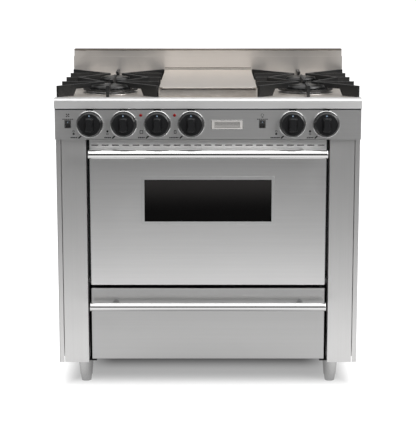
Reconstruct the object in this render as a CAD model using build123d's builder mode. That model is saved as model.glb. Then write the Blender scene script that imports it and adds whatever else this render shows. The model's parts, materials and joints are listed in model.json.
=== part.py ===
from build123d import *
import math
import os

# Row frame: X to the right, Y to the back, Z up, origin on the floor under the middle.
# Depths are measured back from the front of the top rail, heights up from the floor.

# overall stack, bottom to top
FOOT_H = 19.4  # screw foot below its sleeve
SLEEVE_H = 58.1
DRAWER_LIFT = 10.5  # bottom frame edge to the drawer front
DRAWER_H = 222.0
DRAWER_DOOR_GAP = 11.0
DOOR_H = 445.0
DOOR_PANEL_GAP = 4.0
PANEL_H = 92.0
RAIL_H = 30.0
GRATE_RISE = 32.0  # grate top above the rail top
GUARD_RISE = 99.0  # backguard top above the rail top

# overall plan
RAIL_W = 914.4
BODY_W = 911.0
BODY_D = 705.0  # rail front to the back sheet
FACE_SETBACK = 21.0  # rail front to the door and drawer faces
SHEET = 1.5
RUN_GAP = 0.3  # between faces that move past each other

# front of the body
DOOR_W = 711.0
SIDE_GAP = 10.5  # between the door and each pillar
PILLAR_W = 73.5
PILLAR_SEAM = 2.0
DOOR_T = 60.0
GASKET_T = 6.0
SEAL_W = 10.0
SEAL_OUT = 8.0  # seal outside the oven's mouth
SKIN_D = 30.0  # depth of the door's outer pan
EDGE_R = 2.0

# door details
SLOT_COUNT = 23
SLOT_PITCH = 30.8
SLOT_L = 21.0
SLOT_W = 3.0
SLOT_DROP = 15.6  # slot row below the door's top edge
WINDOW_W = 389.0
WINDOW_H = 134.0
WINDOW_BORDER = 6.5
WINDOW_UP = 260.6  # window middle above the door's bottom edge
TRIM_PROUD = 1.5
GLASS_T = 4.0
LINER_INSET = 6.0
PIVOT_BACK = 14.0  # hinge axis behind the door face
PIVOT_UP = 10.0  # hinge axis above the door's bottom edge
PIVOT_R = 7.0
ARM_L = 140.0
ARM_T = 4.0

# handles
HANDLE_R = 12.7
HANDLE_OUT = 54.0
HANDLE_UP = 409.0  # door handle above the door's bottom edge
PULL_UP = 177.6  # drawer handle above the drawer's bottom edge
POST_R = 10.0
POST_X = 280.0
CAP_R = 3.0

# drawer
DRAWER_T = 20.0
BOX_W = 660.0
BOX_D = 550.0
BOX_LOW = 12.0  # box floor above the drawer front's bottom edge
BOX_H = 185.0
RUNNER_T = 6.0
RUNNER_H = 20.0
RUNNER_UP = 80.0
RAIL_T = 7.0
BAY_GAP = 8.0  # air gap between the drawer bay and the oven

# oven
OVEN_W = 590.0
OVEN_D = 470.0
OVEN_LOW = 345.0
OVEN_HIGH = 725.0
FLOOR_RISE = 40.0
WOOL_T = 38.0
WINDOW_HOLE = 60.0  # motor opening in the oven's back wall
GUIDE_R = 3.0
POST_GUIDE_R = 2.5
RACK_BAR_R = 1.6
RACK_LEVELS = 5
RACK_WIRES = 21
FAN_R = 75.0
FAN_HUB_R = 12.0
FAN_T = 26.0
FAN_BLADES = 12
BLADE_L = 20.0
MOTOR_R = 40.0
MOTOR_L = 62.0
LAMP_R = 22.0
LAMP_T = 18.0
TUBE_R = 11.0
BAKE_X = 110.0

# cooktop
RAIL_D = 46.0
RAIL_ROUND = 8.0
DECK_DROP = 2.0  # deck top below the rail top
DECK_SIDE = 28.0
BURNER_X = 302.0
BURNER_DEPTHS = (210.0, 502.0)
BOWL_R = 84.0
BOWL_HOLE = 80.0
DOME_R = 48.0
BOWL_DEEP = 8.0
HEAD_R = 73.0
HEAD_T = 9.0
THROAT_R = 38.0
THROAT_H = 7.0
CAP_TOP_R = 66.0
CAP_T = 8.0
BASE_CUP_R = 24.0
BASE_CUP_H = 26.0

# grates
GRATE_W = 300.0
GRATE_FRONT = 64.0
GRATE_BACK = 648.0
BAR_W = 9.0
BAR_H = 14.0
TIP_H = 7.0
TIP_REACH = 22.0  # tip to burner middle
TIP_L = 53.0  # thin end of a bar, over the burner head
FIN_REACH = 50.0
WEB_L = 62.0  # deep foot web on a corner bar
ARCH_L = 12.0
SPLIT_IN = 40.0  # where the middle bar divides
FOOT_L = 12.0
RING_R = 80.0
RING_W = 7.0
RING_LOW = 9.0  # ring underside above the deck
RING_T = 5.0

# griddle
GRIDDLE_W = 288.0
GRIDDLE_FRONT = 56.0
GRIDDLE_BACK = 656.0
WALL_T = 3.0
WALL_UP = 23.0
WALL_DOWN = 38.0
PLATE_T = 12.0
PLATE_UP = 3.0
RIM_IN = 9.0
COVER_W = 292.6
COVER_UP = 31.0  # cover top above the deck
COVER_LIP = 3.6
COVER_CLIP = 10.0
BURNER_TUBE_X = 70.0

# backguard
GUARD_DEPTH = 665.0
GUARD_FOLD_UP = 75.0  # fold above the deck
GUARD_STEP = 2.0

# control panel
PANEL_BACK = 1.0  # panel face behind the rail front
KNOB_PITCH = 100.5
KNOB_UP = 46.0  # knob middle above the panel's bottom edge
STEM_HOLE_R = 9.0
BEZEL_R = 40.5
BEZEL_T = 5.0
BEZEL_IN_R = 14.0
PUSH = 3.0
SKIRT_R = 36.5
SKIRT_T = 5.0
KNOB_R = 31.5
KNOB_T = 12.0
GRIP_W = 22.0
GRIP_L = 49.0
GRIP_T = 13.0
STEM_R = 4.0
STEM_GAP = 0.05
LIGHT_R = 4.5
LIGHT_UP = 72.5
LIGHT_XS = (-200.0, -99.3)
ROCKER_XS = (-417.0, 161.6)
ROCKER_W = 14.0
ROCKER_H = 19.0
ROCKER_D = 9.0
ROCKER_TILT = 10.0
ROCKER_GAP = 0.8
ROCKER_PIN_R = 1.5

# gas train
PIPE_R = 10.0
PIPE_DEPTH = 84.0
VALVE_W = 26.0
VALVE_D = 34.0
FEED_R = 4.0
SUPPLY_X = 405.0
REGULATOR_W = 56.0
REGULATOR_LOW = 560.0
INLET_R = 13.0
INLET_HOLE_R = 26.0
REGULATOR_IN = 47.0  # regulator middle in front of the back sheet
DIAPHRAGM_T = 20.0
GLAND_X = -380.0
GLAND_Z = 240.0
GLAND_R = 12.0
GLAND_BORE_R = 5.0
GLAND_L = 20.0

# feet
LEG_IN = 75.0
SLEEVE_TOP_R = 23.75
SLEEVE_LOW_R = 19.0
FOOT_TOP_R = 17.75
FOOT_LOW_R = 15.0
SCREW_R = 8.0
SCREW_H = 45.0

# derived levels
REACH = HANDLE_OUT + HANDLE_R - FACE_SETBACK
FRONT = -(BODY_D - REACH) / 2
BACK = FRONT + BODY_D
FACE = FRONT + FACE_SETBACK
BASE_Z = FOOT_H + SLEEVE_H
DRAWER_Z = BASE_Z + DRAWER_LIFT
DRAWER_TOP = DRAWER_Z + DRAWER_H
DOOR_Z = DRAWER_TOP + DRAWER_DOOR_GAP
DOOR_TOP = DOOR_Z + DOOR_H
PANEL_Z = DOOR_TOP + DOOR_PANEL_GAP
RAIL_Z = PANEL_Z + PANEL_H
TOP_Z = RAIL_Z + RAIL_H
DECK_Z = TOP_Z - DECK_DROP
GRATE_Z = TOP_Z + GRATE_RISE
GUARD_Z = TOP_Z + GUARD_RISE
HALF = BODY_W / 2
DOOR_X = DOOR_W / 2
PILLAR_X = DOOR_X + SIDE_GAP
PILLAR_OUT = PILLAR_X + PILLAR_W
FLANGE_X = PILLAR_OUT + PILLAR_SEAM
FRAME_Y = FACE + DOOR_T + GASKET_T
OVEN_X = OVEN_W / 2
OVEN_BACK = FRAME_Y + OVEN_D
PANEL_Y = FRONT + PANEL_BACK
KNOB_Z = PANEL_Z + KNOB_UP
KNOB_XS = tuple(KNOB_PITCH * n for n in (-3.5, -2.5, -1.5, -0.5, 2.5, 3.5))
STEM_XS = KNOB_XS[:4]
PIPE_Y = FRONT + PIPE_DEPTH
VALVE_Y = PIPE_Y - PIPE_R - VALVE_D
KNOB_BACK = PANEL_Y - BEZEL_T - PUSH - RUN_GAP
STEM_FRONT = KNOB_BACK - SKIRT_T - KNOB_T / 2
LEG_X = HALF - LEG_IN
LEG_YS = (FACE + LEG_IN, BACK - LEG_IN)
os.makedirs("parts", exist_ok=True)


def slab(x, y, z, mode=Mode.ADD):
    """Adds a box that spans the pairs x, y and z."""
    with Locations(((x[0] + x[1]) / 2, (y[0] + y[1]) / 2, (z[0] + z[1]) / 2)):
        Box(x[1] - x[0], y[1] - y[0], z[1] - z[0], mode=mode)


def rod(axis, start, end, radius, mode=Mode.ADD, end_radius=None):
    """Adds a round bar along X, Y or Z from the point start to the coordinate end."""
    turn = {"X": (0, 90, 0), "Y": (-90, 0, 0), "Z": (0, 0, 0)}[axis]
    index = "XYZ".index(axis)
    length = end - start[index]
    middle = list(start)
    middle[index] += length / 2
    with Locations(Location(tuple(middle), turn)):
        if end_radius is None:
            Cylinder(radius, length, mode=mode)
        else:
            Cone(radius, end_radius, length, mode=mode)


def span(side, low, high):
    """Turns a distance pair from the middle plane into an ordered X pair on one side."""
    return tuple(sorted((side * low, side * high)))


def box_solid(x, y, z):
    """Makes one flat piece of sheet as a solid of its own."""
    with BuildPart() as sheet:
        slab(x, y, z)
    return sheet.part.solid()


def save(name, solids):
    """Writes one node from its solids, which stay separate where they only touch."""
    node = Compound(solids) if len(solids) > 1 else solids[0]
    node.label = name
    export_step(node, f"parts/{name}.step")


def both_sides(low, high, y, z):
    """Makes a mirrored pair of flat pieces."""
    return [box_solid(span(side, low, high), y, z) for side in (-1, 1)]


# ---------------------------------------------------------------- body shell
sides = both_sides(HALF - SHEET, HALF, (FACE, BACK - SHEET), (BASE_Z, RAIL_Z))
sides += both_sides(FLANGE_X, HALF - SHEET, (FACE, FACE + SHEET), (BASE_Z, PANEL_Z))
save("side_panels", sides)

pillars = both_sides(PILLAR_X, PILLAR_OUT, (FACE, FACE + SHEET), (BASE_Z, PANEL_Z))
pillars += both_sides(PILLAR_X, PILLAR_X + SHEET, (FACE + SHEET, FRAME_Y), (BASE_Z, PANEL_Z))
pillars += both_sides(PILLAR_OUT - SHEET, PILLAR_OUT, (FACE + SHEET, FRAME_Y), (BASE_Z, PANEL_Z))
pillars += both_sides(PILLAR_X, HALF - SHEET, (FRAME_Y, FRAME_Y + SHEET), (BASE_Z, PANEL_Z))
save("front_pillars", pillars)

with BuildPart() as back_panel:
    slab((-HALF, HALF), (BACK - SHEET, BACK), (BASE_Z, DECK_Z - DECK_SIDE))
    rod(
        "Y",
        (SUPPLY_X, BACK - 2 * SHEET, REGULATOR_LOW + REGULATOR_W / 2),
        BACK + SHEET,
        INLET_HOLE_R,
        Mode.SUBTRACT,
    )
    rod("Y", (GLAND_X, BACK - 2 * SHEET, GLAND_Z), BACK + SHEET, GLAND_R, Mode.SUBTRACT)
save("back_panel", [back_panel.part.solid()])

INNER_X = BOX_W / 2 + RUNNER_T + RUN_GAP + RAIL_T
BAY_TOP = OVEN_LOW - SHEET - BAY_GAP
frame_x = HALF - SHEET
base = [
    box_solid((-frame_x, frame_x), (FRAME_Y + SHEET, LEG_YS[0] + SLEEVE_TOP_R), (BASE_Z, BASE_Z + SHEET)),
    box_solid((-frame_x, frame_x), (LEG_YS[1] - SLEEVE_TOP_R, BACK - SHEET), (BASE_Z, BASE_Z + SHEET)),
]
base += both_sides(
    INNER_X,
    frame_x,
    (LEG_YS[0] + SLEEVE_TOP_R, LEG_YS[1] - SLEEVE_TOP_R),
    (BASE_Z, BASE_Z + SHEET),
)
base += both_sides(INNER_X, PILLAR_X, (FACE + DRAWER_T, FRAME_Y + SHEET), (BASE_Z, BASE_Z + SHEET))
bay_back = FACE + DRAWER_T + BOX_D + RAIL_T
base += both_sides(INNER_X, INNER_X + SHEET, (FRAME_Y + SHEET, bay_back), (BASE_Z + SHEET, BAY_TOP))
base.append(box_solid((-frame_x, frame_x), (FRAME_Y + SHEET, OVEN_BACK), (BAY_TOP, BAY_TOP + SHEET)))
base.append(
    box_solid((-INNER_X, INNER_X), (bay_back - SHEET, bay_back), (BASE_Z + SHEET, BAY_TOP))
)
GRILL_Y = FRAME_Y - SHEET
with BuildPart() as cross_rail:
    slab((-PILLAR_X, PILLAR_X), (GRILL_Y, FRAME_Y), (DRAWER_TOP - 2 * SHEET, DOOR_Z + 2 * SHEET))
    with Locations((0, (GRILL_Y + FRAME_Y) / 2, (DRAWER_TOP + DOOR_Z) / 2)):
        with GridLocations(SLOT_PITCH, 1, SLOT_COUNT, 1):
            Box(SLOT_L, 2 * SHEET, SLOT_W, mode=Mode.SUBTRACT)
base.append(cross_rail.part.solid())
save("base_frame", base)

sleeves = []
for side in (-1, 1):
    for leg_y in LEG_YS:
        with BuildPart() as sleeve:
            rod("Z", (side * LEG_X, leg_y, FOOT_H), BASE_Z, SLEEVE_LOW_R, end_radius=SLEEVE_TOP_R)
            rod(
                "Z",
                (side * LEG_X, leg_y, FOOT_H),
                FOOT_H + SCREW_H + RUN_GAP,
                SCREW_R + STEM_GAP,
                Mode.SUBTRACT,
            )
        sleeves.append(sleeve.part.solid())
save("leg_sleeves", sleeves)

for side, side_name in ((-1, "left"), (1, "right")):
    for leg_y, end_name in zip(LEG_YS, ("front", "rear")):
        with BuildPart() as foot:
            rod("Z", (side * LEG_X, leg_y, 0), FOOT_H, FOOT_LOW_R, end_radius=FOOT_TOP_R)
            rod("Z", (side * LEG_X, leg_y, FOOT_H), FOOT_H + SCREW_H, SCREW_R)
        save(f"foot_{end_name}_{side_name}", [foot.part.solid()])

# ---------------------------------------------------------------- top and control panel
with BuildPart() as front_rail:
    slab((-RAIL_W / 2, RAIL_W / 2), (FRONT, FRONT + RAIL_D), (RAIL_Z, TOP_Z))
    long_edges = front_rail.edges().filter_by(Axis.X)
    fillet(long_edges.group_by(Axis.Y)[0].sort_by(Axis.Z)[-1], RAIL_ROUND)
    long_edges = front_rail.edges().filter_by(Axis.X)
    fillet(long_edges.group_by(Axis.Y)[0].sort_by(Axis.Z)[0], EDGE_R)
    hollow_x = RAIL_W / 2 - SHEET
    hollow_z = TOP_Z - SHEET - RAIL_ROUND / 2
    slab((-hollow_x, hollow_x), (FRONT + RAIL_ROUND / 2, FRONT + RAIL_D), (RAIL_Z, hollow_z), Mode.SUBTRACT)
save("front_rail", [front_rail.part.solid()])

DECK_FRONT = FRONT + RAIL_D
GUARD_Y = FRONT + GUARD_DEPTH
GRID_X = GRIDDLE_W / 2
deck_sheets = []
for side in (-1, 1):
    with BuildPart() as deck_half:
        slab(span(side, GRID_X, HALF), (DECK_FRONT, GUARD_Y), (DECK_Z - SHEET, DECK_Z))
        for depth in BURNER_DEPTHS:
            rod(
                "Z",
                (side * BURNER_X, FRONT + depth, DECK_Z - 2 * SHEET),
                DECK_Z + SHEET,
                BOWL_HOLE,
                Mode.SUBTRACT,
            )
    deck_sheets.append(deck_half.part.solid())
deck_sheets.append(
    box_solid((-GRID_X, GRID_X), (DECK_FRONT, FRONT + GRIDDLE_FRONT), (DECK_Z - SHEET, DECK_Z))
)
deck_sheets.append(
    box_solid((-GRID_X, GRID_X), (FRONT + GRIDDLE_BACK, GUARD_Y), (DECK_Z - SHEET, DECK_Z))
)
deck_low = DECK_Z - DECK_SIDE
deck_sheets += both_sides(HALF - SHEET, HALF, (DECK_FRONT, GUARD_Y), (deck_low, DECK_Z - SHEET))
deck_in = HALF - SHEET
deck_sheets.append(
    box_solid((-deck_in, deck_in), (DECK_FRONT, DECK_FRONT + SHEET), (deck_low, DECK_Z - SHEET))
)
save("cooktop_deck", deck_sheets)

with BuildPart() as panel_sheet:
    slab((-HALF, HALF), (PANEL_Y, PANEL_Y + SHEET), (PANEL_Z, RAIL_Z))
    for knob_x in KNOB_XS:
        rod(
            "Y",
            (knob_x, PANEL_Y - SHEET, KNOB_Z),
            PANEL_Y + 2 * SHEET,
            STEM_HOLE_R,
            Mode.SUBTRACT,
        )
    for light_x in LIGHT_XS:
        rod(
            "Y",
            (light_x, PANEL_Y - SHEET, PANEL_Z + LIGHT_UP),
            PANEL_Y + 2 * SHEET,
            LIGHT_R,
            Mode.SUBTRACT,
        )
    for rocker_x in ROCKER_XS:
        half_w = ROCKER_W / 2 + ROCKER_GAP
        half_h = ROCKER_H / 2 + ROCKER_GAP
        slab(
            (rocker_x - half_w, rocker_x + half_w),
            (PANEL_Y - SHEET, PANEL_Y + 2 * SHEET),
            (KNOB_Z - half_h, KNOB_Z + half_h),
            Mode.SUBTRACT,
        )
panel = [panel_sheet.part.solid()]
panel += both_sides(HALF - SHEET, HALF, (PANEL_Y + SHEET, FACE), (PANEL_Z, RAIL_Z))
panel.append(
    box_solid(
        (SHEET - HALF, HALF - SHEET), (PANEL_Y + SHEET, FRAME_Y), (PANEL_Z, PANEL_Z + SHEET)
    )
)
save("control_panel", panel)

bezels = []
for knob_x in KNOB_XS:
    with BuildPart() as bezel:
        rod("Y", (knob_x, PANEL_Y - BEZEL_T, KNOB_Z), PANEL_Y, BEZEL_R)
        fillet(bezel.edges().group_by(Axis.Y)[0], EDGE_R)
        rod(
            "Y",
            (knob_x, PANEL_Y - 2 * BEZEL_T, KNOB_Z),
            PANEL_Y + BEZEL_T,
            BEZEL_IN_R,
            Mode.SUBTRACT,
        )
    bezels.append(bezel.part.solid())
save("knob_bezels", bezels)

lights = []
for light_x in LIGHT_XS:
    with BuildPart() as lens:
        rod("Y", (light_x, PANEL_Y - 2 * SHEET, PANEL_Z + LIGHT_UP), PANEL_Y + 4 * SHEET, LIGHT_R)
        fillet(lens.edges().group_by(Axis.Y)[0], EDGE_R)
    lights.append(lens.part.solid())
save("indicator_lights", lights)

for number, knob_x in enumerate(KNOB_XS, 1):
    with BuildPart() as knob:
        rod("Y", (knob_x, KNOB_BACK - SKIRT_T, KNOB_Z), KNOB_BACK, SKIRT_R)
        fillet(knob.edges().group_by(Axis.Y)[0], EDGE_R)
        body_front = KNOB_BACK - SKIRT_T - KNOB_T
        rod("Y", (knob_x, body_front, KNOB_Z), KNOB_BACK - SKIRT_T, KNOB_R)
        fillet(knob.edges().group_by(Axis.Y)[0], 2 * EDGE_R)
        with Locations((knob_x, body_front - GRIP_T / 2 + EDGE_R, KNOB_Z)):
            Box(GRIP_W, GRIP_T + 2 * EDGE_R, GRIP_L)
        fillet(knob.edges().group_by(Axis.Y)[0], EDGE_R)
        # the bore leaves room for the stem's end when the knob is pushed in
        rod(
            "Y",
            (knob_x, STEM_FRONT - PUSH - RUN_GAP, KNOB_Z),
            KNOB_BACK,
            STEM_R + STEM_GAP,
            Mode.SUBTRACT,
        )
    save(f"knob_{number}", [knob.part.solid()])

STEM_END = VALVE_Y + VALVE_D / 2
for number, stem_x in enumerate(STEM_XS, 1):
    with BuildPart() as stem:
        rod("Y", (stem_x, STEM_FRONT, KNOB_Z), STEM_END, STEM_R)
    save(f"stem_{number}", [stem.part.solid()])

# switch rockers rest tilted one way and swing to the same tilt the other way
ROCKER_Y = PANEL_Y + ROCKER_D / 2
for rocker_x, rocker_name in zip(ROCKER_XS, ("rocker_fan", "rocker_light")):
    nose = ROCKER_H / 2 * math.tan(math.radians(ROCKER_TILT))
    with BuildPart() as rocker:
        with BuildSketch(Plane.YZ.offset(rocker_x - ROCKER_W / 2)):
            Polygon(
                (ROCKER_Y - ROCKER_D / 2 - nose, KNOB_Z),
                (ROCKER_Y - ROCKER_D / 2, KNOB_Z + ROCKER_H / 2),
                (ROCKER_Y + ROCKER_D / 2, KNOB_Z + ROCKER_H / 2 - ROCKER_GAP),
                (ROCKER_Y + ROCKER_D / 2, KNOB_Z - ROCKER_H / 2 + ROCKER_GAP),
                (ROCKER_Y - ROCKER_D / 2, KNOB_Z - ROCKER_H / 2),
                align=None,
            )
        extrude(amount=ROCKER_W)
        pin_x = ROCKER_W / 2 + ROCKER_GAP / 2
        rod("X", (rocker_x - pin_x, ROCKER_Y, KNOB_Z), rocker_x + pin_x, ROCKER_PIN_R)
    axis = Axis((rocker_x, ROCKER_Y, KNOB_Z), (1, 0, 0))
    save(rocker_name, [rocker.part.rotate(axis, -ROCKER_TILT).solid()])

# ---------------------------------------------------------------- gas train
gas_pipe = []
with BuildPart() as main_pipe:
    rod("X", (-SUPPLY_X, PIPE_Y, KNOB_Z), SUPPLY_X, PIPE_R)
    rod("Y", (SUPPLY_X, PIPE_Y, KNOB_Z), BACK - REGULATOR_IN, PIPE_R)
    rod(
        "Z",
        (SUPPLY_X, BACK - REGULATOR_IN, REGULATOR_LOW + REGULATOR_W),
        KNOB_Z,
        PIPE_R,
    )
gas_pipe.append(main_pipe.part.solid())
CUP_TOP = DECK_Z - BOWL_DEEP - SHEET
FEED_GAP = 2.5 * FEED_R
FEED_BEND = 1.5 * FEED_R
feed_z = KNOB_Z + PIPE_R + 2 * FEED_R
feeds = (
    (STEM_XS[0], -1, BURNER_DEPTHS[0], feed_z),
    (STEM_XS[1], -1, BURNER_DEPTHS[1], feed_z + FEED_GAP),
    (STEM_XS[2], 1, BURNER_DEPTHS[0], feed_z),
    (STEM_XS[3], 1, BURNER_DEPTHS[1], feed_z + FEED_GAP),
)
for valve_x, side, depth, level in feeds:
    target_x = side * BURNER_X
    target_y = FRONT + depth
    # A feed turns across to its burner, or runs straight to one that is nearly in line.
    elbow = [(valve_x, target_y, level)] if abs(target_x - valve_x) > 3 * FEED_BEND else []
    with BuildPart() as feed:
        with BuildLine() as route:
            FilletPolyline(
                (valve_x, PIPE_Y, KNOB_Z + PIPE_R - STEM_GAP),
                (valve_x, PIPE_Y, level),
                *elbow,
                (target_x, target_y, level),
                (target_x, target_y, CUP_TOP - BASE_CUP_H),
                radius=FEED_BEND,
            )
        with BuildSketch(Plane(origin=route.line @ 0, z_dir=route.line % 0)):
            Circle(FEED_R)
        sweep()
    gas_pipe.append(feed.part.solid())
save("gas_manifold", gas_pipe)

valves = []
for knob_x in KNOB_XS:
    with BuildPart() as valve:
        half_w = VALVE_W / 2
        slab(
            (knob_x - half_w, knob_x + half_w),
            (VALVE_Y, PIPE_Y - PIPE_R),
            (KNOB_Z - half_w, KNOB_Z + half_w),
        )
        if knob_x in STEM_XS:
            rod(
                "Y",
                (knob_x, VALVE_Y, KNOB_Z),
                STEM_END + RUN_GAP,
                STEM_R + STEM_GAP,
                Mode.SUBTRACT,
            )
        else:
            rod("Y", (knob_x, STEM_FRONT, KNOB_Z), VALVE_Y, STEM_R)
    valves.append(valve.part.solid())
save("gas_valves", valves)

with BuildPart() as regulator:
    half_r = REGULATOR_W / 2
    reg_y = BACK - REGULATOR_IN
    reg_z = REGULATOR_LOW + half_r
    slab(
        (SUPPLY_X - half_r, SUPPLY_X + half_r),
        (reg_y - half_r, reg_y + half_r / 2),
        (REGULATOR_LOW, REGULATOR_LOW + REGULATOR_W),
    )
    fillet(regulator.edges(), EDGE_R)
    rod("Y", (SUPPLY_X, reg_y - half_r - DIAPHRAGM_T, reg_z), reg_y - half_r, half_r - EDGE_R)
    rod("Y", (SUPPLY_X, reg_y, reg_z), BACK - SHEET, INLET_R)
save("pressure_regulator", [regulator.part.solid()])

with BuildPart() as cord_gland:
    rod("Y", (GLAND_X, BACK - GLAND_L, GLAND_Z), BACK, GLAND_R)
    rod("Y", (GLAND_X, BACK - GLAND_L, GLAND_Z), BACK - SHEET, GLAND_R + 2 * SHEET)
    rod("Y", (GLAND_X, BACK - 2 * GLAND_L, GLAND_Z), BACK + SHEET, GLAND_BORE_R, Mode.SUBTRACT)
save("cord_gland", [cord_gland.part.solid()])

# ---------------------------------------------------------------- burners
heads = []
caps = []
bowls = []
HEAD_LOW = DECK_Z
for side in (-1, 1):
    for depth in BURNER_DEPTHS:
        centre = (side * BURNER_X, FRONT + depth)
        with BuildPart() as bowl:
            with BuildSketch(Plane.XZ):
                Polygon(
                    (BOWL_R, DECK_Z),
                    (BOWL_R, DECK_Z + SHEET),
                    (BOWL_HOLE - SHEET, DECK_Z + SHEET),
                    (BOWL_HOLE - BOWL_DEEP, DECK_Z - BOWL_DEEP + SHEET),
                    (DOME_R + 2 * SHEET, DECK_Z - BOWL_DEEP + SHEET),
                    (DOME_R, DECK_Z),
                    (0, DECK_Z),
                    (0, DECK_Z - SHEET),
                    (DOME_R - 2 * SHEET, DECK_Z - SHEET),
                    (DOME_R + SHEET, DECK_Z - BOWL_DEEP),
                    (BOWL_HOLE - BOWL_DEEP + SHEET, DECK_Z - BOWL_DEEP),
                    (BOWL_HOLE - SHEET, DECK_Z),
                    align=None,
                )
            revolve(axis=Axis.Z)
        bowls.append(bowl.part.moved(Location((*centre, 0))).solid())
        with BuildPart() as head:
            rod("Z", (*centre, HEAD_LOW), HEAD_LOW + THROAT_H, THROAT_R)
            rod("Z", (*centre, HEAD_LOW + THROAT_H), HEAD_LOW + THROAT_H + HEAD_T, HEAD_R)
        heads.append(head.part.solid())
        with BuildPart() as cup:
            rod("Z", (*centre, CUP_TOP - BASE_CUP_H), DECK_Z - SHEET, BASE_CUP_R)
        heads.append(cup.part.solid())
        with BuildPart() as cap:
            cap_low = HEAD_LOW + THROAT_H + HEAD_T
            rod("Z", (*centre, cap_low), cap_low + CAP_T, CAP_TOP_R)
            fillet(cap.edges().group_by(Axis.Z)[-1], EDGE_R)
        caps.append(cap.part.solid())
save("burner_heads", heads)
save("burner_caps", caps)
save("burner_bowls", bowls)


# ---------------------------------------------------------------- grates
def arm(start, end, outline):
    """Adds an upright bar from start to end; outline pairs run along it and up."""
    length = math.dist(start, end)
    along = ((end[0] - start[0]) / length, (end[1] - start[1]) / length)
    plane = Plane(
        origin=(start[0], start[1], 0),
        x_dir=(along[0], along[1], 0),
        z_dir=(along[1], -along[0], 0),
    )
    with BuildSketch(plane) as profile:
        Polygon(*[(min(s, length), z) for s, z in outline], align=None)
    extrude(profile.sketch, amount=BAR_W / 2, both=True)


def footed(length, web):
    """Outline of a bar with a foot of the given length at its start."""
    low = GRATE_Z - BAR_H
    return [
        (0, DECK_Z),
        (web, DECK_Z),
        (web + ARCH_L, low),
        (length - TIP_L - TIP_H, low),
        (length - TIP_L, GRATE_Z - TIP_H),
        (length, GRATE_Z - TIP_H),
        (length, GRATE_Z),
        (0, GRATE_Z),
    ]


def plain(length):
    """Outline of a bar with no foot."""
    low = GRATE_Z - BAR_H
    return [
        (0, low),
        (length - TIP_L - TIP_H, low),
        (length - TIP_L, GRATE_Z - TIP_H),
        (length, GRATE_Z - TIP_H),
        (length, GRATE_Z),
        (0, GRATE_Z),
    ]


def fin(length, foot):
    """Outline of a deep blade over the ring, with a foot at its start if foot is over 0."""
    low = DECK_Z + RING_LOW + RING_T / 2
    high = GRATE_Z - TIP_H
    over = HEAD_R - FIN_REACH
    points = [(0, DECK_Z), (foot, DECK_Z), (foot + ARCH_L / 4, low)]
    if not foot:
        points = [(0, high), (over, high), (over + RING_W / 2, low)]
    return points + [
        (length - over - RING_W / 2, low),
        (length - over, high),
        (length, high),
        (length, GRATE_Z),
        (0, GRATE_Z),
    ]


for side, grate_name in ((-1, "grate_left"), (1, "grate_right")):
    middle_y = FRONT + (GRATE_FRONT + GRATE_BACK) / 2
    mid = side * BURNER_X
    with BuildPart() as grate:
        for depth, corner in zip(BURNER_DEPTHS, (GRATE_FRONT, GRATE_BACK)):
            burner_y = FRONT + depth
            corner_y = FRONT + corner
            for hand in (-1, 1):
                outer_x = mid + hand * GRATE_W / 2
                tip = (mid + hand * TIP_REACH, burner_y)
                fork = (outer_x - hand * SPLIT_IN, middle_y)
                diagonal = math.dist((outer_x, corner_y), tip)
                arm((outer_x, corner_y), tip, footed(diagonal, WEB_L))
                arm((outer_x, burner_y), tip, plain(GRATE_W / 2 - TIP_REACH))
                arm(fork, tip, plain(math.dist(fork, tip)))
                arm((outer_x, middle_y), fork, footed(SPLIT_IN, FOOT_L)[:3] + [
                    (SPLIT_IN, GRATE_Z - BAR_H),
                    (SPLIT_IN, GRATE_Z),
                    (0, GRATE_Z),
                ])
                rod("Z", (*fork, GRATE_Z - BAR_H), GRATE_Z, BAR_W / 2)
                for start in ((outer_x, corner_y), (outer_x, burner_y), fork):
                    reach = math.dist(start, tip)
                    toward = ((start[0] - tip[0]) / reach, (start[1] - tip[1]) / reach)
                    aside = TIP_REACH * toward[1]
                    out = math.sqrt(RING_R**2 - aside**2) - TIP_REACH * abs(toward[0])
                    spot = (tip[0] + toward[0] * out, tip[1] + toward[1] * out)
                    rod("Z", (*spot, DECK_Z + RING_LOW), GRATE_Z - BAR_H / 2, BAR_W / 2)
            rod("Z", (mid, burner_y, DECK_Z + RING_LOW), DECK_Z + RING_LOW + RING_T, RING_R + RING_W / 2)
            rod(
                "Z",
                (mid, burner_y, DECK_Z + RING_LOW - RING_T),
                DECK_Z + RING_LOW + 2 * RING_T,
                RING_R - RING_W / 2,
                Mode.SUBTRACT,
            )
            inward = burner_y + (FIN_REACH if corner > depth else -FIN_REACH)
            fin_length = abs(corner_y - inward)
            arm((mid, corner_y), (mid, inward), fin(fin_length, FOOT_L))
        bridge_low = FRONT + BURNER_DEPTHS[0] + FIN_REACH
        bridge_high = FRONT + BURNER_DEPTHS[1] - FIN_REACH
        arm((mid, bridge_low), (mid, bridge_high), fin(bridge_high - bridge_low, 0))
    save(grate_name, [grate.part.solid()])

# ---------------------------------------------------------------- griddle
griddle_in = GRID_X - WALL_T
wall_z = (DECK_Z - WALL_DOWN, DECK_Z + WALL_UP)
grid_y = (FRONT + GRIDDLE_FRONT, FRONT + GRIDDLE_BACK)
griddle = both_sides(griddle_in, GRID_X, grid_y, wall_z)
griddle.append(box_solid((-griddle_in, griddle_in), (grid_y[0], grid_y[0] + WALL_T), wall_z))
griddle.append(box_solid((-griddle_in, griddle_in), (grid_y[1] - WALL_T, grid_y[1]), wall_z))
plate_z = (DECK_Z + PLATE_UP, DECK_Z + PLATE_UP + PLATE_T)
plate_y = (grid_y[0] + WALL_T, grid_y[1] - WALL_T)
griddle.append(box_solid((-griddle_in, griddle_in), plate_y, plate_z))
rim_x = GRID_X - RIM_IN
rim_z = (plate_z[1], DECK_Z + COVER_UP - SHEET)
griddle += both_sides(rim_x - WALL_T, rim_x, (grid_y[0] + RIM_IN, grid_y[1] - RIM_IN), rim_z)
rim_in = rim_x - WALL_T
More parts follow.
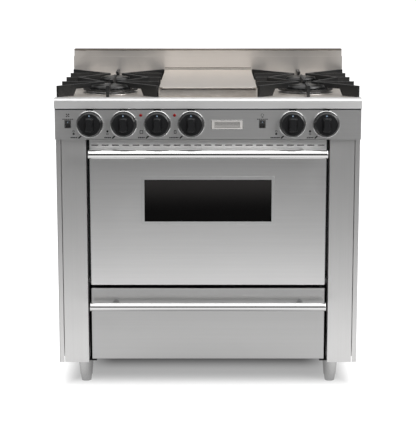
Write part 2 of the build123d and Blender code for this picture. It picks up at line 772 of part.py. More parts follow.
griddle.append(
    box_solid((-rim_in, rim_in), (grid_y[1] - RIM_IN - WALL_T, grid_y[1] - RIM_IN), rim_z)
)
griddle.append(
    box_solid((-rim_in, rim_in), (grid_y[0] + RIM_IN, grid_y[0] + RIM_IN + WALL_T), rim_z)
)
save("griddle_plate", griddle)

COVER_SIDE = (COVER_W - GRIDDLE_W) / 2
with BuildPart() as griddle_cover:
    cover_y = (grid_y[0] - COVER_SIDE, grid_y[1] + COVER_SIDE)
    cover_z = (DECK_Z + COVER_UP - COVER_LIP, DECK_Z + COVER_UP)
    slab((-COVER_W / 2, COVER_W / 2), cover_y, cover_z)
    corners = griddle_cover.edges().filter_by(Axis.Z).group_by(Axis.Y)[0]
    chamfer(corners, COVER_CLIP)
    slab(
        (SHEET - COVER_W / 2 + COVER_CLIP / 4, COVER_W / 2 - SHEET - COVER_CLIP / 4),
        (cover_y[0] + COVER_CLIP / 2 + SHEET, cover_y[1] - SHEET),
        (cover_z[0], cover_z[1] - SHEET),
        Mode.SUBTRACT,
    )
save("griddle_cover", [griddle_cover.part.solid()])

tubes = []
for tube_x in (-BURNER_TUBE_X, BURNER_TUBE_X):
    with BuildPart() as griddle_tube:
        rod("Y", (tube_x, plate_y[0], DECK_Z - WALL_DOWN / 2), plate_y[1], TUBE_R)
    tubes.append(griddle_tube.part.solid())
FLOOR_Z = OVEN_LOW + FLOOR_RISE
for tube_x in (-BAKE_X, BAKE_X):
    with BuildPart() as bake_tube:
        rod("Y", (tube_x, FRAME_Y + SHEET + WALL_T, OVEN_LOW + FLOOR_RISE / 2), OVEN_BACK, TUBE_R)
    tubes.append(bake_tube.part.solid())
broil_y = (FRAME_Y + OVEN_D / 4, OVEN_BACK - OVEN_D / 4)
with BuildPart() as broiler:
    slab((-BAKE_X, BAKE_X), broil_y, (OVEN_HIGH - 2 * TUBE_R, OVEN_HIGH))
    fillet(broiler.edges().filter_by(Axis.Z), TUBE_R)
tubes.append(broiler.part.solid())
save("tube_burners", tubes)

# ---------------------------------------------------------------- oven
mouth_y = (FRAME_Y, FRAME_Y + SHEET)
liner_y = (FRAME_Y + SHEET, OVEN_BACK)
liner_top = PANEL_Z
liner = both_sides(OVEN_X, PILLAR_X, mouth_y, (OVEN_LOW, OVEN_HIGH))
liner.append(box_solid((-PILLAR_X, PILLAR_X), mouth_y, (OVEN_HIGH, liner_top)))
liner.append(box_solid((-PILLAR_X, PILLAR_X), mouth_y, (DOOR_Z, OVEN_LOW)))
liner += both_sides(OVEN_X, OVEN_X + SHEET, liner_y, (OVEN_LOW, OVEN_HIGH))
shell_x = OVEN_X + SHEET
liner.append(box_solid((-shell_x, shell_x), liner_y, (OVEN_HIGH, OVEN_HIGH + SHEET)))
liner.append(box_solid((-shell_x, shell_x), liner_y, (OVEN_LOW - SHEET, OVEN_LOW)))
oven_mid_z = (FLOOR_Z + OVEN_HIGH) / 2
hole = WINDOW_HOLE / 2
wall_y = (OVEN_BACK, OVEN_BACK + SHEET)
liner.append(box_solid((-shell_x, shell_x), wall_y, (OVEN_LOW - SHEET, oven_mid_z - hole)))
liner.append(box_solid((-shell_x, shell_x), wall_y, (oven_mid_z + hole, OVEN_HIGH + SHEET)))
liner += both_sides(hole, shell_x, wall_y, (oven_mid_z - hole, oven_mid_z + hole))
liner.append(box_solid((-OVEN_X, OVEN_X), (liner_y[0] + WALL_T, OVEN_BACK), (FLOOR_Z, FLOOR_Z + SHEET)))
liner.append(
    box_solid((-OVEN_X, OVEN_X), (liner_y[0], liner_y[0] + WALL_T), (OVEN_LOW, FLOOR_Z + SHEET))
)
save("oven_liner", liner)

wool = [
    box_solid(
        (-shell_x - WOOL_T, shell_x + WOOL_T),
        (FRAME_Y + SHEET, OVEN_BACK + SHEET),
        (OVEN_HIGH + SHEET, PANEL_Z - DOOR_PANEL_GAP),
    )
]
wool += both_sides(
    shell_x, shell_x + WOOL_T, (FRAME_Y + SHEET, OVEN_BACK + SHEET), (OVEN_LOW, OVEN_HIGH + SHEET)
)
motor_room = MOTOR_R + DRAWER_DOOR_GAP
wool_y = (OVEN_BACK + SHEET, OVEN_BACK + SHEET + WOOL_T)
wool += both_sides(motor_room, shell_x, wool_y, (OVEN_LOW, OVEN_HIGH))
wool.append(box_solid((-motor_room, motor_room), wool_y, (OVEN_LOW, oven_mid_z - motor_room)))
wool.append(box_solid((-motor_room, motor_room), wool_y, (oven_mid_z + motor_room, OVEN_HIGH)))
save("oven_insulation", wool)

seal_x = OVEN_X + SEAL_OUT
seal_y = (FACE + DOOR_T, FRAME_Y)
# the seal's lower run stays above the edge of the inner pan as it swings past
seal_low = DOOR_Z + PIVOT_UP + PIVOT_R + 2 * EDGE_R
seal_w = SEAL_W
seal = both_sides(seal_x, seal_x + seal_w, seal_y, (seal_low, OVEN_HIGH + 2 * seal_w))
seal.append(box_solid((-seal_x, seal_x), seal_y, (seal_low, seal_low + seal_w)))
seal.append(box_solid((-seal_x, seal_x), seal_y, (OVEN_HIGH + seal_w, OVEN_HIGH + 2 * seal_w)))
save("door_gasket", seal)

GUIDE_X = OVEN_X - 2 * POST_GUIDE_R - RUN_GAP
RAIL_X = GUIDE_X - GUIDE_R
guide_y = (FRAME_Y + FLOOR_RISE, OVEN_BACK - FLOOR_RISE)
level_step = (OVEN_HIGH - FLOOR_Z) / (RACK_LEVELS + 1)
levels = [FLOOR_Z + level_step * n for n in range(1, RACK_LEVELS + 1)]
guides = []
for side in (-1, 1):
    with BuildPart() as guide:
        for post_y in (guide_y[0] + FLOOR_RISE, guide_y[1] - FLOOR_RISE):
            rod(
                "Z",
                (side * (OVEN_X - POST_GUIDE_R - RUN_GAP), post_y, levels[0] - FLOOR_RISE / 2),
                levels[-1] + FLOOR_RISE / 2,
                POST_GUIDE_R,
            )
        for level in levels:
            rod("Y", (side * (RAIL_X + 2 * RUN_GAP), guide_y[0], level), guide_y[1], GUIDE_R)
    guides.append(guide.part.solid())

rack_x = RAIL_X - GUIDE_R + RUN_GAP
rack_y = (FRAME_Y + FLOOR_RISE / 2, OVEN_BACK - FLOOR_RISE)
racks = []
for level in (levels[1], levels[3]):
    rack_z = level + 2 * GUIDE_R
    with BuildPart() as rack:
        for side in (-1, 1):
            rod("Y", (side * rack_x, rack_y[0], rack_z), rack_y[1], GUIDE_R)
        for cross in (0, 1 / 3, 2 / 3, 1):
            cross_y = rack_y[0] + 2 * GUIDE_R + cross * (rack_y[1] - rack_y[0] - 4 * GUIDE_R)
            rod("X", (-rack_x, cross_y, rack_z), rack_x, POST_GUIDE_R)
        wire_step = 2 * rack_x / (RACK_WIRES + 1)
        for number in range(1, RACK_WIRES + 1):
            wire_x = number * wire_step - rack_x
            rod(
                "Y",
                (wire_x, rack_y[0] + GUIDE_R / 2, rack_z + GUIDE_R),
                rack_y[1] - GUIDE_R / 2,
                RACK_BAR_R,
            )
    racks.append(rack.part.solid())
save("oven_racks", guides + racks)

with BuildPart() as fan_motor:
    rod("Y", (0, OVEN_BACK, oven_mid_z), OVEN_BACK + SHEET, LAMP_R)
    rod("Y", (0, OVEN_BACK + SHEET, oven_mid_z), OVEN_BACK + MOTOR_L, MOTOR_R)
    fillet(fan_motor.edges().group_by(Axis.Y)[-1], 2 * EDGE_R)
save("fan_motor", [fan_motor.part.solid()])

with BuildPart() as fan_wheel:
    fan_y = (OVEN_BACK - RUN_GAP - FAN_T, OVEN_BACK - RUN_GAP)
    rod("Y", (0, fan_y[0], oven_mid_z), fan_y[1], FAN_HUB_R)
    rod("Y", (0, fan_y[1] - 2 * SHEET, oven_mid_z), fan_y[1] - SHEET, FAN_R)
    with Locations(Location((0, (fan_y[0] + fan_y[1] - SHEET) / 2, oven_mid_z), (-90, 0, 0))):
        with PolarLocations(FAN_R - BLADE_L / 2 - SHEET, FAN_BLADES):
            Box(BLADE_L, SHEET, FAN_T - SHEET)
save("fan_wheel", [fan_wheel.part.solid()])

with BuildPart() as oven_lamp:
    lamp_at = (-OVEN_X * 2 / 3, OVEN_HIGH - 2 * LAMP_R)
    rod("Y", (lamp_at[0], OVEN_BACK - LAMP_T / 3, lamp_at[1]), OVEN_BACK, LAMP_R)
    rod("Y", (lamp_at[0], OVEN_BACK - LAMP_T, lamp_at[1]), OVEN_BACK - LAMP_T / 3, LAMP_R - WALL_T)
    fillet(oven_lamp.edges().group_by(Axis.Y)[0], 2 * EDGE_R)
save("oven_lamp", [oven_lamp.part.solid()])

# ---------------------------------------------------------------- backguard
fold_z = DECK_Z + GUARD_FOLD_UP
guard_x = HALF - GUARD_STEP
guard = [
    box_solid((-HALF, HALF), (GUARD_Y, GUARD_Y + SHEET), (deck_low, fold_z)),
    box_solid((-HALF, HALF), (BACK - SHEET, BACK), (deck_low, fold_z)),
    box_solid((-HALF, HALF), (GUARD_Y, BACK), (fold_z, fold_z + SHEET)),
]
guard += both_sides(HALF - SHEET, HALF, (GUARD_Y + SHEET, BACK - SHEET), (deck_low, fold_z))
guard_cap = (GUARD_Y + GUARD_STEP, BACK)
cap_front = (guard_cap[0], guard_cap[0] + SHEET)
cap_back = (BACK - SHEET, BACK)
cap_z = (fold_z + SHEET, GUARD_Z - SHEET)
guard.append(box_solid((-guard_x, guard_x), cap_front, cap_z))
guard.append(box_solid((-guard_x, guard_x), cap_back, cap_z))
guard += both_sides(guard_x - SHEET, guard_x, (cap_front[1], cap_back[0]), cap_z)
guard.append(box_solid((-guard_x, guard_x), guard_cap, (GUARD_Z - SHEET, GUARD_Z)))
save("backguard", guard)

# ---------------------------------------------------------------- oven door
door_z = (DOOR_Z, DOOR_TOP)
window_z = DOOR_Z + WINDOW_UP
with BuildPart() as door_skin:
    slab((-DOOR_X, DOOR_X), (FACE, FACE + SKIN_D), door_z)
    fillet(door_skin.edges().filter_by(Axis.Z).group_by(Axis.Y)[0], EDGE_R)
    fillet(door_skin.edges().filter_by(Axis.X).group_by(Axis.Y)[0], EDGE_R)
    inner_x = DOOR_X - SHEET
    slab(
        (-inner_x, inner_x),
        (FACE + SHEET, FACE + SKIN_D),
        (DOOR_Z + SHEET, DOOR_TOP - SHEET),
        Mode.SUBTRACT,
    )
    with Locations((0, FACE + SHEET / 2, window_z)):
        Box(WINDOW_W, 4 * SHEET, WINDOW_H, mode=Mode.SUBTRACT)
    with BuildSketch(Plane.XZ.offset(-FACE - 2 * SHEET)):
        with Locations((0, DOOR_TOP - SLOT_DROP)):
            with GridLocations(SLOT_PITCH, 1, SLOT_COUNT, 1):
                SlotOverall(SLOT_L, SLOT_W)
    extrude(amount=4 * SHEET, mode=Mode.SUBTRACT)
save("door_skin", [door_skin.part.solid()])

liner_x = DOOR_X - LINER_INSET
with BuildPart() as door_liner:
    slab(
        (-liner_x, liner_x),
        (FACE + SKIN_D, FACE + DOOR_T),
        (DOOR_Z + LINER_INSET / 2, DOOR_TOP - LINER_INSET),
    )
    fillet(door_liner.edges().filter_by(Axis.Z).group_by(Axis.Y)[-1], 2 * EDGE_R)
    slab(
        (SHEET - liner_x, liner_x - SHEET),
        (FACE + SKIN_D + SHEET, FACE + DOOR_T - SHEET),
        (DOOR_Z + LINER_INSET / 2 + SHEET, DOOR_TOP - LINER_INSET - SHEET),
        Mode.SUBTRACT,
    )
    with Locations((0, FACE + (SKIN_D + DOOR_T) / 2, window_z)):
        Box(WINDOW_W, 2 * SKIN_D, WINDOW_H, mode=Mode.SUBTRACT)
save("door_liner", [door_liner.part.solid()])

with BuildPart() as window_trim:
    with Locations((0, FACE - TRIM_PROUD / 2, window_z)):
        Box(WINDOW_W + 2 * WINDOW_BORDER, TRIM_PROUD, WINDOW_H + 2 * WINDOW_BORDER)
    fillet(window_trim.edges().filter_by(Axis.Y), 2 * EDGE_R)
    with Locations((0, FACE - TRIM_PROUD / 2, window_z)):
        Box(WINDOW_W - 2 * WALL_T, 2 * TRIM_PROUD, WINDOW_H - 2 * WALL_T, mode=Mode.SUBTRACT)
save("window_trim", [window_trim.part.solid()])

panes = []
for pane_y in ((FACE, FACE + GLASS_T), (FACE + DOOR_T - GLASS_T, FACE + DOOR_T - SHEET / 2)):
    panes.append(
        box_solid(
            (-WINDOW_W / 2, WINDOW_W / 2),
            pane_y,
            (window_z - WINDOW_H / 2, window_z + WINDOW_H / 2),
        )
    )
save("window_glass", panes)


def tube_handle(name, level):
    """Writes a round handle and its two posts in front of a face."""
    centre_y = FACE - HANDLE_OUT
    with BuildPart() as tube:
        rod("X", (-DOOR_X, centre_y, level), DOOR_X, HANDLE_R)
        fillet(tube.edges(), CAP_R)
    save(name, [tube.part.solid()])
    posts = []
    for post_x in (-POST_X, POST_X):
        with BuildPart() as post:
            rod("Y", (post_x, centre_y, level), FACE, POST_R)
            rod("X", (post_x - 2 * POST_R, centre_y, level), post_x + 2 * POST_R, HANDLE_R, Mode.SUBTRACT)
        posts.append(post.part.solids().sort_by(Axis.Y)[-1])
    save(f"{name}_posts", posts)


tube_handle("door_handle", DOOR_Z + HANDLE_UP)
tube_handle("drawer_handle", DRAWER_Z + PULL_UP)

pivot_at = (FACE + PIVOT_BACK, DOOR_Z + PIVOT_UP)
pivot_mid = DOOR_X + SIDE_GAP / 2
arms = []
receivers = []
for side in (-1, 1):
    with BuildPart() as hinge_arm:
        slab(
            span(side, DOOR_X - SHEET - ARM_T, DOOR_X - SHEET),
            (pivot_at[0] - PIVOT_R, pivot_at[0] + PIVOT_R),
            (DOOR_Z + SHEET, DOOR_Z + ARM_L),
        )
    arms.append(hinge_arm.part.solid())
    with BuildPart() as door_boss:
        low, high = span(side, DOOR_X, pivot_mid - RUN_GAP / 2)
        rod("X", (low, *pivot_at), high, PIVOT_R)
    arms.append(door_boss.part.solid())
    with BuildPart() as fixed_boss:
        low, high = span(side, pivot_mid + RUN_GAP / 2, PILLAR_X)
        rod("X", (low, *pivot_at), high, PIVOT_R)
    receivers.append(fixed_boss.part.solid())
save("hinge_arms", arms)
save("hinge_receivers", receivers)

# ---------------------------------------------------------------- drawer
with BuildPart() as drawer_front:
    slab((-DOOR_X, DOOR_X), (FACE, FACE + DRAWER_T), (DRAWER_Z, DRAWER_TOP))
    fillet(drawer_front.edges().filter_by(Axis.Z).group_by(Axis.Y)[0], EDGE_R)
    fillet(drawer_front.edges().filter_by(Axis.X).group_by(Axis.Y)[0], EDGE_R)
    slab(
        (SHEET - DOOR_X, DOOR_X - SHEET),
        (FACE + SHEET, FACE + DRAWER_T - SHEET),
        (DRAWER_Z + SHEET, DRAWER_TOP - SHEET),
        Mode.SUBTRACT,
    )
save("drawer_front", [drawer_front.part.solid()])

box_x = BOX_W / 2
box_y = (FACE + DRAWER_T, FACE + DRAWER_T + BOX_D)
box_low = DRAWER_Z + BOX_LOW
box_z = (box_low + SHEET, box_low + BOX_H)
tray = [box_solid((-box_x, box_x), box_y, (box_low, box_low + SHEET))]
tray += both_sides(box_x - SHEET, box_x, box_y, box_z)
for wall in ((box_y[0], box_y[0] + SHEET), (box_y[1] - SHEET, box_y[1])):
    tray.append(box_solid((SHEET - box_x, box_x - SHEET), wall, box_z))
save("drawer_box", tray)

runner_z = (box_low + RUNNER_UP, box_low + RUNNER_UP + RUNNER_H)
save("drawer_runners", both_sides(box_x, box_x + RUNNER_T, box_y, runner_z))

ledge_x = box_x + RUN_GAP
rail_y = (FRAME_Y + SHEET, bay_back - SHEET)
track = both_sides(INNER_X - RAIL_T, INNER_X, rail_y, (runner_z[0] - RUN_GAP, runner_z[1]))
track += both_sides(ledge_x, INNER_X, rail_y, (runner_z[0] - RUN_GAP - 2 * SHEET, runner_z[0] - RUN_GAP))
save("drawer_rails", track)
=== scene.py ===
import json
import math

import bmesh
import bpy
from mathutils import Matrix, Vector

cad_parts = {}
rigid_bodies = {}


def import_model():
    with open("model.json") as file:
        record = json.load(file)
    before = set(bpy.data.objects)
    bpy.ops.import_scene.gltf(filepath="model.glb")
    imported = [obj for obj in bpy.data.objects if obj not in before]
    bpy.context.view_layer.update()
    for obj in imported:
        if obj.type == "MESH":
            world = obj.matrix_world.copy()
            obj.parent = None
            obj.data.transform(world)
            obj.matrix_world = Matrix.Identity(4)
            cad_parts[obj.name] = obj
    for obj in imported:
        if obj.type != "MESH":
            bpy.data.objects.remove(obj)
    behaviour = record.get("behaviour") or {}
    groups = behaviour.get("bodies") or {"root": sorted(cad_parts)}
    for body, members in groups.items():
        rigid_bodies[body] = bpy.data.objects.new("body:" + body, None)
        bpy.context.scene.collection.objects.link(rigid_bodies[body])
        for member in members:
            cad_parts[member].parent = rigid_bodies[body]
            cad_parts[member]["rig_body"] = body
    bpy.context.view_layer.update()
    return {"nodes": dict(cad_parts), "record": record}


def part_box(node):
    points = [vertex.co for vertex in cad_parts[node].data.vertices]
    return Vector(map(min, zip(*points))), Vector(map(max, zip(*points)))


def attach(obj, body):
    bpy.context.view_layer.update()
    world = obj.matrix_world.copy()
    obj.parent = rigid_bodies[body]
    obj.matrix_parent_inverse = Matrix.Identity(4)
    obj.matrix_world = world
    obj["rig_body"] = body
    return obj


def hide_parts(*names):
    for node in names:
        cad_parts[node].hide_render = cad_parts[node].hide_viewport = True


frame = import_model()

NODES = frame["nodes"]
SMOOTH_ANGLE = math.radians(32)


# ---------------------------------------------------------------- shader expressions
class Wire:
    """A value on its way through a material. Arithmetic on it adds the nodes that work it out."""

    def __init__(self, finish, socket):
        self.finish = finish
        self.socket = socket

    def maths(self, operation, first, second):
        return self.finish.node("ShaderNodeMath", {"operation": operation}, {0: first, 1: second})

    def __add__(self, other):
        return self.maths("ADD", self, other)

    def __radd__(self, other):
        return self.maths("ADD", other, self)

    def __sub__(self, other):
        return self.maths("SUBTRACT", self, other)

    def __rsub__(self, other):
        return self.maths("SUBTRACT", other, self)

    def __mul__(self, other):
        return self.maths("MULTIPLY", self, other)

    def __rmul__(self, other):
        return self.maths("MULTIPLY", other, self)


class Finish:
    """One material. Constants go straight on the surface shader, and wires feed what varies."""

    def __init__(self, name, constants):
        self.material = bpy.data.materials.new(name)
        self.material.use_nodes = True
        self.tree = self.material.node_tree
        self.shader = self.tree.nodes["Principled BSDF"]
        for socket, value in constants.items():
            self.shader.inputs[socket].default_value = value
        self.place = self.node("ShaderNodeTexCoord", output="Object")

    def join(self, socket, value):
        if isinstance(value, Wire):
            self.tree.links.new(value.socket, socket)
        elif value is not None:
            socket.default_value = value

    def node(self, kind, settings=None, values=None, output=0):
        made = self.tree.nodes.new(kind)
        for key, value in (settings or {}).items():
            setattr(made, key, value)
        for key, value in (values or {}).items():
            self.join(made.inputs[key], value)
        return Wire(self, made.outputs[output])

    def noise(self, scale, stretch=(1, 1, 1), detail=3.0, rough=0.55):
        """Cloudy noise, with that many features in a metre, stretched along the small axes."""
        where = self.node(
            "ShaderNodeVectorMath", {"operation": "MULTIPLY"}, {0: self.place, 1: stretch}
        )
        return self.node(
            "ShaderNodeTexNoise",
            None,
            {"Vector": where, "Scale": scale, "Detail": detail, "Roughness": rough},
            "Fac",
        )

    def cells(self, scale):
        """Distance from the middle of each of many small cells, that many to a metre."""
        return self.node(
            "ShaderNodeTexVoronoi", None, {"Vector": self.place, "Scale": scale}, "Distance"
        )

    def axis(self, letter):
        return self.node("ShaderNodeSeparateXYZ", None, {0: self.place}, letter)

    def fade(self, value, low, high, start=0.0, end=1.0):
        """Start below low, end above high, and a smooth change between."""
        return self.node(
            "ShaderNodeMapRange",
            {"interpolation_type": "SMOOTHSTEP"},
            {"Value": value, "From Min": low, "From Max": high, "To Min": start, "To Max": end},
        )

    def blend(self, share, first, second):
        """From the first colour to the second as share goes from 0 to 1."""
        return self.node("ShaderNodeMix", {"data_type": "RGBA"}, {0: share, 6: first, 7: second}, 2)

    def edges(self, width):
        """1 on edges and corners, 0 on flat ground, for wear."""
        bevel = self.node("ShaderNodeBevel", {"samples": 4}, {"Radius": width})
        plain = self.node("ShaderNodeNewGeometry", output="Normal")
        along = self.node(
            "ShaderNodeVectorMath", {"operation": "DOT_PRODUCT"}, {0: bevel, 1: plain}, "Value"
        )
        return self.fade(1 - along, 0.01, 0.25)

    def surface(self, colour, rough, height=None, relief=0.0004, depth=1.0):
        """Feeds the surface shader. Height goes through a bump node of that relief in metres."""
        self.join(self.shader.inputs["Base Color"], colour)
        self.join(self.shader.inputs["Roughness"], rough)
        if height is not None:
            bump = self.node(
                "ShaderNodeBump", None, {"Strength": depth, "Distance": relief, "Height": height}
            )
            self.join(self.shader.inputs["Normal"], bump)
        return self.material


def grey(level, warmth=0.0):
    return (level * (1 + warmth), level, level * (1 - warmth), 1.0)


# ---------------------------------------------------------------- finishes
def brushed(name, tone, rough, grain="X", aniso=0.6, warmth=0.004, turn=0.0):
    """Brushed stainless sheet, its grain along one axis, with faint rolling marks and smudges.

    Turn is the part of a full turn by which its stretched highlights are turned.
    """
    stretch = {"X": (3, 420, 420), "Y": (420, 3, 420), "Z": (420, 420, 3)}[grain]
    steel = Finish(name, {"Metallic": 1.0, "Anisotropic": aniso, "Anisotropic Rotation": turn})
    line = steel.noise(2.2, stretch, 4.0, 0.7)
    streak = steel.noise(0.35, stretch, 2.0)
    cloud = steel.noise(3.0)
    smudge = steel.fade(steel.noise(7.0, detail=5.0), 0.55, 0.8)
    shade = 0.45 * line + 0.3 * streak + 0.25 * cloud
    colour = steel.blend(shade, grey(tone * 0.88, warmth), grey(min(1.0, tone * 1.1), warmth))
    roughness = rough - 0.07 + 0.12 * line + 0.05 * smudge
    return steel.surface(colour, roughness, line, 0.00003, 0.35)


def polished(name, tone, rough, warmth=0.0):
    """Chrome or polished steel with fine wiping scratches and a few dull spots."""
    metal = Finish(name, {"Metallic": 1.0})
    scratch = metal.noise(60.0, (1, 14, 3), 2.0)
    dull = metal.fade(metal.noise(25.0, detail=4.0), 0.5, 0.75)
    colour = metal.blend(dull, grey(tone, warmth), grey(tone * 0.86, warmth * 2))
    return metal.surface(colour, rough + 0.08 * dull + 0.05 * scratch, scratch, 0.00002, 0.3)


def cast(name, tone, metallic, rough, grain, warmth=0.0, relief=0.0003):
    """Sand-cast surface: fine pits, uneven sheen, and bare metal showing where edges wear."""
    metal = Finish(name, {"Metallic": metallic, "Specular IOR Level": 0.45})
    pits = metal.noise(grain, detail=4.0, rough=0.65)
    patch = metal.noise(28.0)
    wear = metal.edges(0.0012) * metal.fade(metal.noise(90.0), 0.45, 0.7)
    colour = metal.blend(patch, grey(tone * 0.8, warmth), grey(tone * 1.25, warmth))
    colour = metal.blend(wear * 0.6, colour, grey(tone * 2.4 + 0.02, warmth))
    return metal.surface(colour, rough - 0.1 + 0.2 * patch - 0.12 * wear, pits, relief, 0.6)


def sheet_zinc():
    """Galvanised sheet with its spangle."""
    zinc = Finish("zinc_spangled", {"Metallic": 1.0})
    spangle = zinc.cells(90.0)
    flake = zinc.noise(20.0)
    colour = zinc.blend(spangle * 1.1, grey(0.34), grey(0.44))
    return zinc.surface(colour, 0.34 + 0.2 * flake, spangle, 0.00008, 0.3)


def plastic(name, colour, rough, coat=0.0):
    """Moulded plastic: fine spark texture, slight rubbed patches."""
    body = Finish(name, {"Coat Weight": coat, "Coat Roughness": 0.08, "IOR": 1.5})
    texture = body.noise(1400.0, detail=2.0)
    rubbed = body.fade(body.noise(60.0, detail=4.0), 0.5, 0.8)
    lighter = tuple(min(1.0, c * 1.7 + 0.004) for c in colour[:3]) + (1.0,)
    tint = body.blend(rubbed * 0.5, colour, lighter)
    return body.surface(tint, rough + 0.1 * texture - 0.06 * rubbed, texture, 0.00006, 0.5)


def enamel(name, base, speck, amount=0.62, rough=0.22):
    """Vitreous enamel with fine specks above that noise level, and an uneven, wavy gloss."""
    glass = Finish(name, {"Coat Weight": 0.25, "Coat Roughness": 0.2})
    dots = glass.fade(glass.noise(700.0, detail=1.0), amount, amount + 0.06)
    wave = glass.noise(30.0)
    stain = glass.fade(glass.noise(6.0, detail=5.0), 0.55, 0.85)
    colour = glass.blend(dots, base, speck)
    colour = glass.blend(stain * 0.25, colour, grey(0.03, 0.3))
    return glass.surface(colour, rough + 0.15 * stain, wave, 0.0003, 0.3)


def red_lens():
    """Faceted red signal lens, barely lit."""
    lens = Finish("lens_red", {"Transmission Weight": 0.35, "IOR": 1.49, "Emission Strength": 0.02})
    facet = lens.cells(900.0)
    depth = lens.noise(300.0)
    colour = lens.blend(depth, (0.2, 0.001, 0.002, 1), (0.4, 0.004, 0.006, 1))
    lens.join(lens.shader.inputs["Emission Color"], colour)
    return lens.surface(colour, 0.16 + 0.1 * depth, facet, 0.0002, 0.5)


def tinted_glass():
    """Dark oven glass with a fine dot screen, and a painted reflection that makes it paler towards its top.
    """
    glass = Finish(
        "glass_dark", {"Coat Weight": 0.02, "Coat Roughness": 0.03, "Specular IOR Level": 0.04}
    )
    screen = glass.fade(glass.cells(420.0), 0.28, 0.36)
    haze = glass.noise(9.0)
    # Painted reflection: the glass colour is blended paler with height.
    height = glass.fade(glass.axis("Z"), 0.52, 0.65)
    colour = glass.blend(screen, (0.0015, 0.0015, 0.0017, 1), (0.004, 0.0038, 0.0038, 1))
    colour = glass.blend(height * height * 0.6, colour, (0.045, 0.042, 0.041, 1))
    return glass.surface(colour, 0.05 + 0.05 * haze, haze, 0.0001, 0.1)


def clear_glass():
    """Ribbed clear glass of the oven lamp."""
    glass = Finish("glass_lamp", {"Transmission Weight": 0.85, "IOR": 1.47, "Roughness": 0.2})
    ripple = glass.noise(160.0)
    colour = glass.blend(ripple, (0.93, 0.9, 0.82, 1), (0.98, 0.97, 0.93, 1))
    return glass.surface(colour, 0.12 + 0.25 * ripple, ripple, 0.0004, 0.5)


def woven_seal():
    """Knitted glass-fibre seal: diagonal stitches that cross."""
    rope = Finish("seal_woven", {"Sheen Weight": 0.3})
    across = rope.axis("X") + rope.axis("Z")
    down = rope.axis("X") - rope.axis("Z")
    one = rope.node("ShaderNodeMath", {"operation": "SINE"}, {0: across * 1500})
    two = rope.node("ShaderNodeMath", {"operation": "SINE"}, {0: down * 1500})
    stitch = 0.5 + 0.25 * one + 0.25 * two
    fuzz = rope.noise(900.0)
    colour = rope.blend(stitch * fuzz * 1.4, grey(0.07, 0.04), grey(0.34, 0.05))
    return rope.surface(colour, 0.8 + 0.15 * fuzz, stitch + 0.5 * fuzz, 0.0006, 0.9)


def mineral_wool():
    """Yellow wool batt of long strands."""
    wool = Finish("wool_mineral", {"Sheen Weight": 0.4})
    strand = wool.noise(260.0, (1, 6, 1), 6.0, 0.7)
    lump = wool.noise(14.0)
    colour = wool.blend(strand, (0.42, 0.30, 0.08, 1), (0.86, 0.72, 0.34, 1))
    return wool.surface(colour, 0.85 + 0.1 * lump, strand + lump, 0.004, 0.9)


def griddle_iron():
    """Ground steel plate, seasoned dark in patches, with spatula scratches across it."""
    plate = Finish("griddle_ground", {"Metallic": 1.0})
    scratch = plate.noise(3.0, (4, 300, 300), 4.0, 0.7)
    season = plate.fade(plate.noise(5.0, detail=6.0), 0.35, 0.7)
    colour = plate.blend(season, grey(0.64, 0.06), grey(0.3, 0.12))
    return plate.surface(colour, 0.26 + 0.14 * scratch + 0.15 * season, scratch, 0.00006, 0.5)


def rubber():
    """Black rubber with a fine skin and a little dust."""
    skin = Finish("rubber_gland", {"Specular IOR Level": 0.35})
    dust = skin.fade(skin.noise(40.0, detail=5.0), 0.45, 0.8)
    fine = skin.noise(1200.0)
    colour = skin.blend(dust * 0.5, grey(0.012), grey(0.06, 0.03))
    return skin.surface(colour, 0.6 + 0.25 * dust, fine, 0.0001, 0.6)


def ink(name, colour):
    """Screen-printed ink, a little worn through. Its dark version also serves as painted shade."""
    print_ink = Finish(name, {"Specular IOR Level": 0.4})
    worn = print_ink.fade(print_ink.noise(900.0, detail=3.0), 0.5, 0.75)
    tint = print_ink.blend(worn * 0.2, colour, grey(0.12))
    return print_ink.surface(tint, 0.5 + 0.2 * worn, worn, 0.00002, 0.4)


def ceramic():
    """White glazed ceramic, a little sooted."""
    body = Finish("ceramic_white", {"Coat Weight": 0.5, "Coat Roughness": 0.1})
    soot = body.fade(body.noise(240.0, detail=4.0), 0.45, 0.75)
    colour = body.blend(soot * 0.4, (0.82, 0.79, 0.72, 1), (0.2, 0.15, 0.1, 1))
    return body.surface(colour, 0.3 + 0.3 * soot, soot, 0.0001, 0.3)


def brass():
    """Turned brass, tarnished in patches."""
    metal = Finish("brass_valve", {"Metallic": 1.0})
    tarnish = metal.fade(metal.noise(45.0, detail=5.0), 0.4, 0.75)
    turning = metal.noise(30.0, (1, 30, 1), 2.0)
    colour = metal.blend(tarnish, (0.76, 0.5, 0.16, 1), (0.36, 0.2, 0.06, 1))
    return metal.surface(colour, 0.22 + 0.25 * tarnish, turning, 0.00005, 0.4)


steel_front = brushed("steel_front", 0.86, 0.38)
black_knob = plastic("plastic_knob", (0.004, 0.0042, 0.005, 1), 0.32, coat=0.1)
black_switch = plastic("plastic_switch", (0.002, 0.002, 0.002, 1), 0.5)
chrome = polished("chrome_ring", 0.86, 0.08)
dark_ink_and_painted_shade = ink("dark_ink_and_painted_shade", (0.012, 0.012, 0.013, 1))
ink_pale = ink("ink_pale", (0.3, 0.4, 0.52, 1))
screw_steel = polished("steel_screw", 0.58, 0.24)

